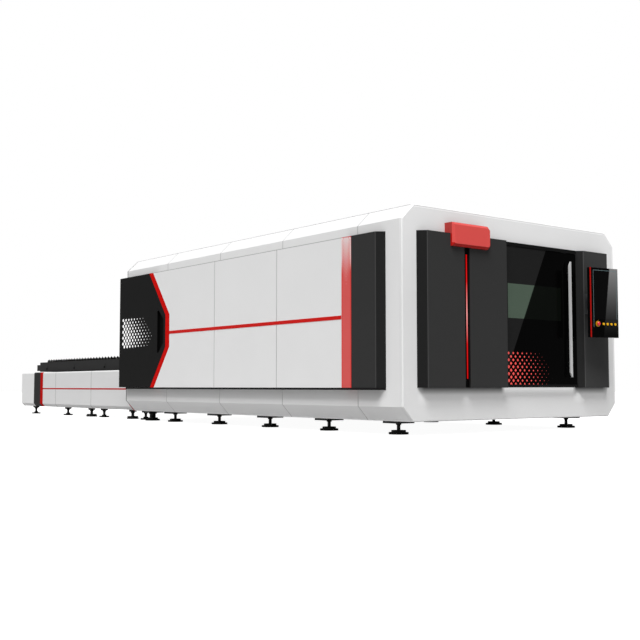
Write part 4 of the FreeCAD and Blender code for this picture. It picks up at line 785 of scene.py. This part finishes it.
# Each finish with the nodes of the frame that it goes on.
NODE_FINISHES = (
    (rear_wall_coat(), "rear_wall"),
    (front_wall_coat(), "front_wall"),
    (section_coat(), "wall_panels", "service_wall_panels", "roof_panels"),
    (side_panel_coat(), "side_panels"),
    (bed_frame_coat(), "bed_frame"),
    (white_coat("end_block_coat", "#e2e2e2"), "table_end_cover"),
    (table_panel_coat(), "table_panels"),
    (powder_coat("dark_cover_coat", "#2a2a2a", specular=0.06), "table_black_bands"),
    (RED_COAT, "table_red_bands"),
    # Each cover's second tone is painted shade on its slanted sides; a front cover's slot and a service
    # door's pull recess take painted shade too.
    (front_coat("front_cover_outer", "#363636", "#1f1f1f", SLOT_DEPTH), "front_cover_outer"),
    (front_coat("front_cover_inner", "#353535", "#1c1c1c", SLOT_DEPTH), "front_cover_inner"),
    (front_coat("front_pillar", "#3e3e3e", "#272727"), "front_pillar"),
    (side_coat("corner_cover_coat", "#353535", "#212121"), "side_corner_covers"),
    (side_coat("service_door_coat", "#1c1c1c", "#050505", PULL_DEPTH),
     "left_service_door", "right_service_door"),
    (chevron_coat(), "chevron_trims"),
    (red_band_coat(), "side_red_trims"),
    (sign_coat(), "sign_block"),
    (glowing_strip(), "status_light"),
    (powder_coat("dark_track_coat", "#0c0c0c", specular=0.08), "door_tracks"),
    (door_gloss("door_gloss", "#040404", "#212121", 0.15), "door_leaf"),
    (door_gloss("window_glass", "#0b0e0b", "#4f5d51", 0.06), "door_window"),
    (handle_coat(), "door_handle"),
    (moulded("arm_plastic", "#3a3b3d", roughness=0.45), "panel_arm"),
    (panel_gloss("panel_gloss", "#040404"), "panel_housing"),
    (panel_gloss("screen_gloss", "#090909"), "panel_screen"),
    (edge_strip_coat(), "panel_strip"),
    (moulded("collar_plastic", "#c08c00", roughness=0.35), "estop_collar"),
    (moulded("red_plastic", "#e0283c", roughness=0.3, coat=0.3), "estop_button"),
    (moulded("yellow_plastic", "#f0b400", roughness=0.35),
     "panel_button_1", "panel_button_2", "panel_button_3", "panel_button_4"),
    (powder_coat("gantry_coat", "#dcdcda", specular=0.5, roughness=0.45),
     "gantry_beam", "gantry_saddles", "carriage"),
    (powder_coat("motor_coat", "#1b1c1e", specular=0.4, roughness=0.4),
     "x_drives", "carriage_drives", "exchange_drive"),
    (machined("ground_steel", "#b9bcbf", 0.22, LINES_ON_X), "x_guides", "y_guides", "lift_rams"),
    (machined("turned_alloy", "#c6c8ca", 0.28, LINES_ON_Z), "cutting_head", "z_slide"),
    (machined("track_steel", "#8d9092", 0.4, (1.0, 30.0, 30.0)), "inner_pallet_tracks"),
    (machined("copper", "#b8683c", 0.25, (30.0, 30.0, 1.0)), "nozzle"),
    (galvanised(), "scrap_trays"),
    (powder_coat("dark_frame_coat", "#2b2b2b", specular=0.08),
     "table_frame", "lift_frame", "upper_pallet", "lower_pallet"),
    (cut_steel(), "upper_slats", "lower_slats"),
    (RUBBER_AND_SHADOW_BLACK, "door_hangers", "upper_wheels_rear", "upper_wheels_front"),
    (powder_coat("foot_coat", "#141414", specular=0.3), "foot_pads", "foot_screws"),
)


def paint_nodes():
    """Gives every solid of the frame its finish."""
    for finish, *names in NODE_FINISHES:
        for name in names:
            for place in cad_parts[name].material_slots:
                place.material = finish


# ---------------------------------------------------------------- pieces of the scene
def slab_mesh(name, size, finish):
    """A flat bar with softened edges, its lowest corner at the origin."""
    work = bmesh.new()
    bmesh.ops.create_cube(work, size=1.0)
    bmesh.ops.transform(work, matrix=Matrix.Diagonal((*size, 1.0)), verts=work.verts)
    bmesh.ops.translate(work, vec=Vector(size) / 2, verts=work.verts)
    bmesh.ops.bevel(work, geom=list(work.edges), offset=size[2] / 4, segments=1, affect="EDGES")
    mesh = bpy.data.meshes.new(name)
    work.to_mesh(mesh)
    work.free()
    mesh.materials.append(finish)
    return mesh


def axes_matrix(origin, along, across, outward):
    """A placement from the local X, Y and Z axes."""
    columns = [Vector(v).normalized() for v in (along, across, outward)]
    turn = Matrix(columns).transposed().to_4x4()
    return Matrix.Translation(origin) @ turn


def new_piece(name, mesh, matrix, body):
    """Moves a mesh to its place, faces outwards, and adds it as a piece that rides on a body."""
    mesh.transform(matrix)
    if matrix.determinant() < 0:
        mesh.flip_normals()
    piece = bpy.data.objects.new(name, mesh)
    bpy.context.scene.collection.objects.link(piece)
    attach(piece, body)


def side_bars(places, size, finish, body):
    """Flat bars on both long sides: each one's name, and its lowest rear corner on the right side."""
    for side, hand in SIDES:
        for part, (x, y, z) in places.items():
            name = f"{hand}_{part}"
            matrix = axes_matrix(at(x, side * y, z), X_AXIS, Z_AXIS, (0, side, 0))
            new_piece(name, slab_mesh(name, size, finish), matrix, body)


# ---------------------------------------------------------------- geometry trees
FIELD_INPUTS = {
    "Int": ("Rows", "Dots per Row", "Corners"),
    "Float": ("Pitch", "Row Pitch", "Longest Row", "Reach", "Slope Before", "Slope After", "Fade",
              "Largest", "Smallest", "Thickness"),
    "Material": ("Finish",),
}
TIP_INPUTS = {
    "Int": ("Slats",),
    "Float": ("Pitch", "Half Span", "Radius", "Height"),
    "Material": ("Finish",),
}

# Dots are counted in half pitches from the end of their row: where the ink is faint and where it is full.
INK_RAMP = (-1.0, 5.0, 0.15, 1.0)
ROW_END = -0.01
TIP_CORNERS = 6
TIP_POINT = 0.001


def begin_tree(name, inputs):
    """A geometry tree's graph and what its named inputs give, listed by the kind of socket."""
    tree = bpy.data.node_groups.new(name, "GeometryNodeTree")
    tree.interface.new_socket("Geometry", in_out="OUTPUT", socket_type="NodeSocketGeometry")
    for kind, labels in inputs.items():
        for label in labels:
            tree.interface.new_socket(label, in_out="INPUT", socket_type=f"NodeSocket{kind}")
    graph = Graph(tree)
    return graph, graph.node("NodeGroupInput").outputs


def points_at(graph, count, x, y):
    """A number of points, each at its own place on the plane."""
    place = graph.node("ShaderNodeCombineXYZ", {"X": x, "Y": y}).outputs[0]
    return graph.node("GeometryNodePoints", {"Count": count, "Position": place}).outputs[0]


def with_number(graph, points, name, value):
    """Points that carry a named number."""
    keys = {"Geometry": points, "Name": name, "Value": value}
    return graph.node("GeometryNodeStoreNamedAttribute", keys, data_type="FLOAT", domain="POINT").outputs[0]


def end_tree(graph, copies, finish):
    """Makes one mesh of all the copies, gives it its finish and ends the tree."""
    real = graph.node("GeometryNodeRealizeInstances", {"Geometry": copies}).outputs[0]
    finished = graph.node("GeometryNodeSetMaterial", {"Geometry": real, "Material": finish}).outputs[0]
    graph.node("NodeGroupOutput", {0: finished})
    return graph.tree


def dot_field_tree():
    """A staggered field of flat dots that ends in a point and shrinks towards its end."""
    graph, given = begin_tree("dot_field", FIELD_INPUTS)
    index = graph.node("GeometryNodeInputIndex").outputs[0]
    row = graph.math("FLOOR", graph.math("DIVIDE", index, given["Dots per Row"]))
    column = graph.math("FLOORED_MODULO", index, given["Dots per Row"])
    step = graph.total(graph.product(column, 2.0), graph.math("FLOORED_MODULO", row, 2.0))
    before = graph.math("MAXIMUM", graph.minus(given["Longest Row"], row), 0.0)
    after = graph.math("MAXIMUM", graph.minus(row, given["Longest Row"]), 0.0)
    shortened = graph.total(graph.product(before, given["Slope Before"]),
                            graph.product(after, given["Slope After"]))
    left = graph.minus(graph.minus(given["Reach"], shortened), step)
    x = graph.product(step, graph.product(given["Pitch"], 0.5))
    y = graph.product(row, given["Row Pitch"])
    points = points_at(graph, graph.product(given["Rows"], given["Dots per Row"]), x, y)
    size = graph.ranged(left, 0.0, given["Fade"], given["Smallest"], given["Largest"])
    points = with_number(graph, points, "size", size)
    points = with_number(graph, points, "ink", graph.ranged(left, *INK_RAMP))
    past = {"Geometry": points, "Selection": graph.below(left, ROW_END)}
    kept = graph.node("GeometryNodeDeleteGeometry", past, domain="POINT").outputs[0]
    shape = {"Vertices": given["Corners"], "Radius": 1.0, "Depth": given["Thickness"]}
    dot = graph.node("GeometryNodeMeshCylinder", shape).outputs["Mesh"]
    radius = graph.node("GeometryNodeInputNamedAttribute", {"Name": "size"}, data_type="FLOAT").outputs[0]
    scale = graph.node("ShaderNodeCombineXYZ", {"X": radius, "Y": radius, "Z": 1.0}).outputs[0]
    keys = {"Points": kept, "Instance": dot, "Scale": scale}
    copies = graph.node("GeometryNodeInstanceOnPoints", keys).outputs[0]
    return end_tree(graph, copies, given["Finish"])


def slat_tip_tree():
    """A pointed tip at both ends of every slat in a row."""
    graph, given = begin_tree("slat_tips", TIP_INPUTS)
    index = graph.node("GeometryNodeInputIndex").outputs[0]
    slat = graph.math("FLOOR", graph.math("DIVIDE", index, 2.0))
    end = graph.minus(graph.product(graph.math("FLOORED_MODULO", index, 2.0), 2.0), 1.0)
    x = graph.product(slat, given["Pitch"])
    y = graph.product(end, given["Half Span"])
    points = points_at(graph, graph.product(given["Slats"], 2.0), x, y)
    shape = {"Vertices": TIP_CORNERS, "Radius Top": TIP_POINT, "Radius Bottom": given["Radius"],
             "Depth": given["Height"]}
    cone = graph.node("GeometryNodeMeshCone", shape).outputs["Mesh"]
    copies = graph.node("GeometryNodeInstanceOnPoints", {"Points": points, "Instance": cone}).outputs[0]
    return end_tree(graph, copies, given["Finish"])


def grown(tree, name, values):
    """The plain mesh that a geometry tree makes from its named inputs."""
    holder = bpy.data.objects.new(name, bpy.data.meshes.new(name))
    bpy.context.scene.collection.objects.link(holder)
    modifier = holder.modifiers.new("grow", "NODES")
    modifier.node_group = tree
    for item in tree.interface.items_tree:
        if item.in_out == "INPUT":
            modifier[item.identifier] = values[item.name]
    bpy.context.view_layer.update()
    evaluated = holder.evaluated_get(bpy.context.evaluated_depsgraph_get())
    mesh = bpy.data.meshes.new_from_object(evaluated)
    mesh.name = name
    bpy.data.objects.remove(holder)
    return mesh


# ---------------------------------------------------------------- printed patterns
INK_THICKNESS = 0.0006

# The upper corner that each pattern starts from: its place along the machine, or across it on the
# operator's door, and its height.
SERVICE_DOTS_CORNER = (-5.5235, 1.366)
FRONT_DOTS_CORNER = (-0.2045, 0.8065)
LATTICE_CORNER = (-0.780, 1.930)
DASHES_CORNER = (-0.792, 1.934)

SERVICE_DOOR_DOTS = {
    "Rows": 10, "Dots per Row": 11, "Pitch": 0.0808, "Row Pitch": 0.0402, "Longest Row": 6.0, "Reach": 20.0,
    "Slope Before": 1.0, "Slope After": 1.0, "Fade": 15.0, "Largest": 0.0215, "Smallest": 0.006,
    "Corners": 16,
}
FRONT_DOOR_DOTS = {
    "Rows": 10, "Dots per Row": 10, "Pitch": 0.0690, "Row Pitch": 0.0349, "Longest Row": 4.0, "Reach": 18.0,
    "Slope Before": 1.0, "Slope After": 0.0, "Fade": 21.0, "Largest": 0.0225, "Smallest": 0.0035,
    "Corners": 4,
}
BAND_LATTICE = {
    "Rows": 7, "Dots per Row": 14, "Pitch": 0.0360, "Row Pitch": 0.0180, "Longest Row": 3.0, "Reach": 26.0,
    "Slope Before": 2.5, "Slope After": 2.5, "Fade": 24.0, "Largest": 0.0160, "Smallest": 0.003,
    "Corners": 4,
}
BAND_DASHES = {
    "Rows": 2, "Dots per Row": 16, "Pitch": 0.0215, "Row Pitch": 0.134, "Longest Row": 0.0, "Reach": 31.0,
    "Slope Before": 0.0, "Slope After": 1.0, "Fade": 12.0, "Largest": 0.0095, "Smallest": 0.004,
    "Corners": 4,
}


def new_print(tree, name, pattern, ink, matrix, body):
    """A printed field of dots, grown from its pattern and laid on its face."""
    mesh = grown(tree, name, {**pattern, "Thickness": INK_THICKNESS, "Finish": ink})
    new_piece(name, mesh, matrix, body)


def service_door_dots(tree):
    """White dots on both service doors, fading towards the finger pull."""
    ink = printed_ink("white_ink", "#ffffff", "#4a4a4a", painted_glow_strength=0.22)
    x, z = SERVICE_DOTS_CORNER
    for side, hand in SIDES:
        body = f"{hand}_service_door"
        matrix = axes_matrix(at(x, side * COVER_FACE_Y, z), X_AXIS, DOWN, (0, side, 0))
        new_print(tree, f"{body}_dots", SERVICE_DOOR_DOTS, ink, matrix, body)


def front_door_dots(tree):
    """Red diamonds in the lower corner of the operator's door."""
    ink = printed_ink("red_ink", "#fb5a54", "#3a1010", painted_glow_strength=0.04)
    matrix = axes_matrix(at(DOOR_FACE_X, *FRONT_DOTS_CORNER), Y_AXIS, DOWN, X_AXIS)
    new_print(tree, "front_door_dots", FRONT_DOOR_DOTS, ink, matrix, "front_door")


def band_print(tree, part, pattern, ink, corner):
    """A printed pattern that runs down both red bands from a corner on their upper part."""
    x, z = corner
    for side, hand in SIDES:
        matrix = axes_matrix(at(x, side * COVER_FACE_Y, z), DOWN, X_AXIS, (0, side, 0))
        new_print(tree, f"{hand}_{part}", pattern, ink, matrix, "machine")


def band_prints(tree):
    """White diamonds that fade down the red bands, with pale dashes along both edges."""
    lattice_ink = printed_ink("lattice_ink", "#ececec", "#d88a88")
    dash_ink = printed_ink("dash_ink", "#ffffff", "#e0a09e")
    band_print(tree, "band_lattice", BAND_LATTICE, lattice_ink, LATTICE_CORNER)
    band_print(tree, "band_dashes", BAND_DASHES, dash_ink, DASHES_CORNER)


# ---------------------------------------------------------------- slat tips, trims and lines
SLAT_PITCH = 0.105
SLAT_HALF_THICKNESS = 0.003
TIP_FROM_END = 0.062
TIP_RADIUS = 0.030
TIP_HEIGHT = 0.034
TIP_SINK = 0.014
LINE_THICKNESS = 0.001
TABLE_LINE_REAR = -9.27
TABLE_LINE_FRONT = -5.585
TABLE_LINE_WIDTH = 0.020
TABLE_LINE_Y = 1.30
TABLE_LINE_FOOT = 0.420
SKIRT_EDGE = ((1.578, 0.219), (1.499, 0.135))
SKIRT_LINE_WIDTH = 0.020
SKIRT_LINE_X = -5.5795
RAIL_PAD = (0.036, 0.034, 0.004)
RAIL_PAD_PLACES = (-9.47, -8.36, -7.25)
RAIL_PAD_Y = 1.150
RAIL_PAD_FOOT = 0.752
# The strip of painted shadow close under the side covers: its rear and front ends, height, depth and top.
SHADOW_STRIP_REAR = -5.58
SHADOW_STRIP_FRONT = -0.23
SHADOW_STRIP_HEIGHT = 0.022
SHADOW_STRIP_DEPTH = 0.005
SHADOW_STRIP_TOP = 0.455
WALL_Y = 1.63
BORDER_WIDTH = 0.004
BORDER_OUT = 0.003
BORDER_LEFT = -0.160
BORDER_RIGHT = 0.184
BORDER_FOOT = 1.100
BORDER_TOP = 1.716
BORDER_RIGHT_FOOT = BORDER_FOOT + 0.09


def slat_tips(tree):
    """The taller last tip at each end of the slats, on both pallets."""
    for row, body in (("upper_slats", "upper_pallet"), ("lower_slats", "lift")):
        low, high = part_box(row)
        values = {
            "Slats": round((high.x - low.x) / SLAT_PITCH) + 1, "Pitch": SLAT_PITCH,
            "Half Span": high.y - TIP_FROM_END, "Radius": TIP_RADIUS, "Height": TIP_HEIGHT,
            "Finish": MATT_BLACK,
        }
        corner = Vector((low.x + SLAT_HALF_THICKNESS, 0.0, high.z - TIP_SINK))
        name = f"{row}_tips"
        new_piece(name, grown(tree, name, values), Matrix.Translation(corner), body)


def table_lines():
    """The thin red line along each side of the table."""
    size = (TABLE_LINE_FRONT - TABLE_LINE_REAR, TABLE_LINE_WIDTH, LINE_THICKNESS)
    places = {"table_line": (TABLE_LINE_REAR, TABLE_LINE_Y, TABLE_LINE_FOOT)}
    side_bars(places, size, RED_COAT, "machine")


def skirt_lines():
    """The short red line down the lower slope at the cabin's rear edge."""
    (top_y, top_z), (foot_y, foot_z) = SKIRT_EDGE
    size = (math.hypot(top_y - foot_y, top_z - foot_z), SKIRT_LINE_WIDTH, LINE_THICKNESS)
    for side, hand in SIDES:
        name = f"{hand}_skirt_line"
        down = (0.0, side * (foot_y - top_y), foot_z - top_z)
        outward = (0.0, side * (top_z - foot_z), foot_y - top_y)
        matrix = axes_matrix(at(SKIRT_LINE_X, side * top_y, top_z), down, X_AXIS, outward)
        new_piece(name, slab_mesh(name, size, RED_COAT), matrix, "machine")


def rail_pads():
    """Small black pads along the outer side of the upper pallet's rails."""
    places = {}
    for number, x in enumerate(RAIL_PAD_PLACES, start=1):
        places[f"rail_pad_{number}"] = (x - RAIL_PAD[0] / 2, RAIL_PAD_Y, RAIL_PAD_FOOT)
    side_bars(places, RAIL_PAD, MATT_BLACK, "upper_pallet")


def under_cover_shadow_strips():
    """A dark strip of painted shadow along each side wall, close under the side covers, in the finish of the
    black rubber parts.
    """
    size = (SHADOW_STRIP_FRONT - SHADOW_STRIP_REAR, SHADOW_STRIP_HEIGHT, SHADOW_STRIP_DEPTH)
    places = {"cover_shadow_strip": (SHADOW_STRIP_REAR, WALL_Y, SHADOW_STRIP_TOP - SHADOW_STRIP_HEIGHT)}
    side_bars(places, size, RUBBER_AND_SHADOW_BLACK, "machine")


def screen_border():
    """A fine pale line printed along the left, the top and the right of the screen."""
    right = BORDER_RIGHT - BORDER_WIDTH
    under_top = BORDER_TOP - BORDER_WIDTH
    inner_left = BORDER_LEFT + BORDER_WIDTH
    bars = (
        ("left", BORDER_LEFT, BORDER_FOOT, BORDER_WIDTH, BORDER_TOP - BORDER_FOOT),
        ("right", right, BORDER_RIGHT_FOOT, BORDER_WIDTH, BORDER_TOP - BORDER_RIGHT_FOOT),
        ("top", inner_left, under_top, right - inner_left, BORDER_WIDTH),
    )
    for part, start, foot, width, height in bars:
        name = f"screen_border_{part}"
        mesh = slab_mesh(name, (width, height, INK_THICKNESS), BORDER_PRINT)
        corner = panel_point(BORDER_OUT, start, foot)
        matrix = axes_matrix(corner, panel_way(0.0, 1.0), Z_AXIS, panel_way(1.0, 0.0))
        new_piece(name, mesh, matrix, "control_panel")


set_camera()
set_light()
floor()
paint_nodes()
dot_field = dot_field_tree()
service_door_dots(dot_field)
front_door_dots(dot_field)
band_prints(dot_field)
slat_tips(slat_tip_tree())
table_lines()
skirt_lines()
rail_pads()
under_cover_shadow_strips()
screen_border()
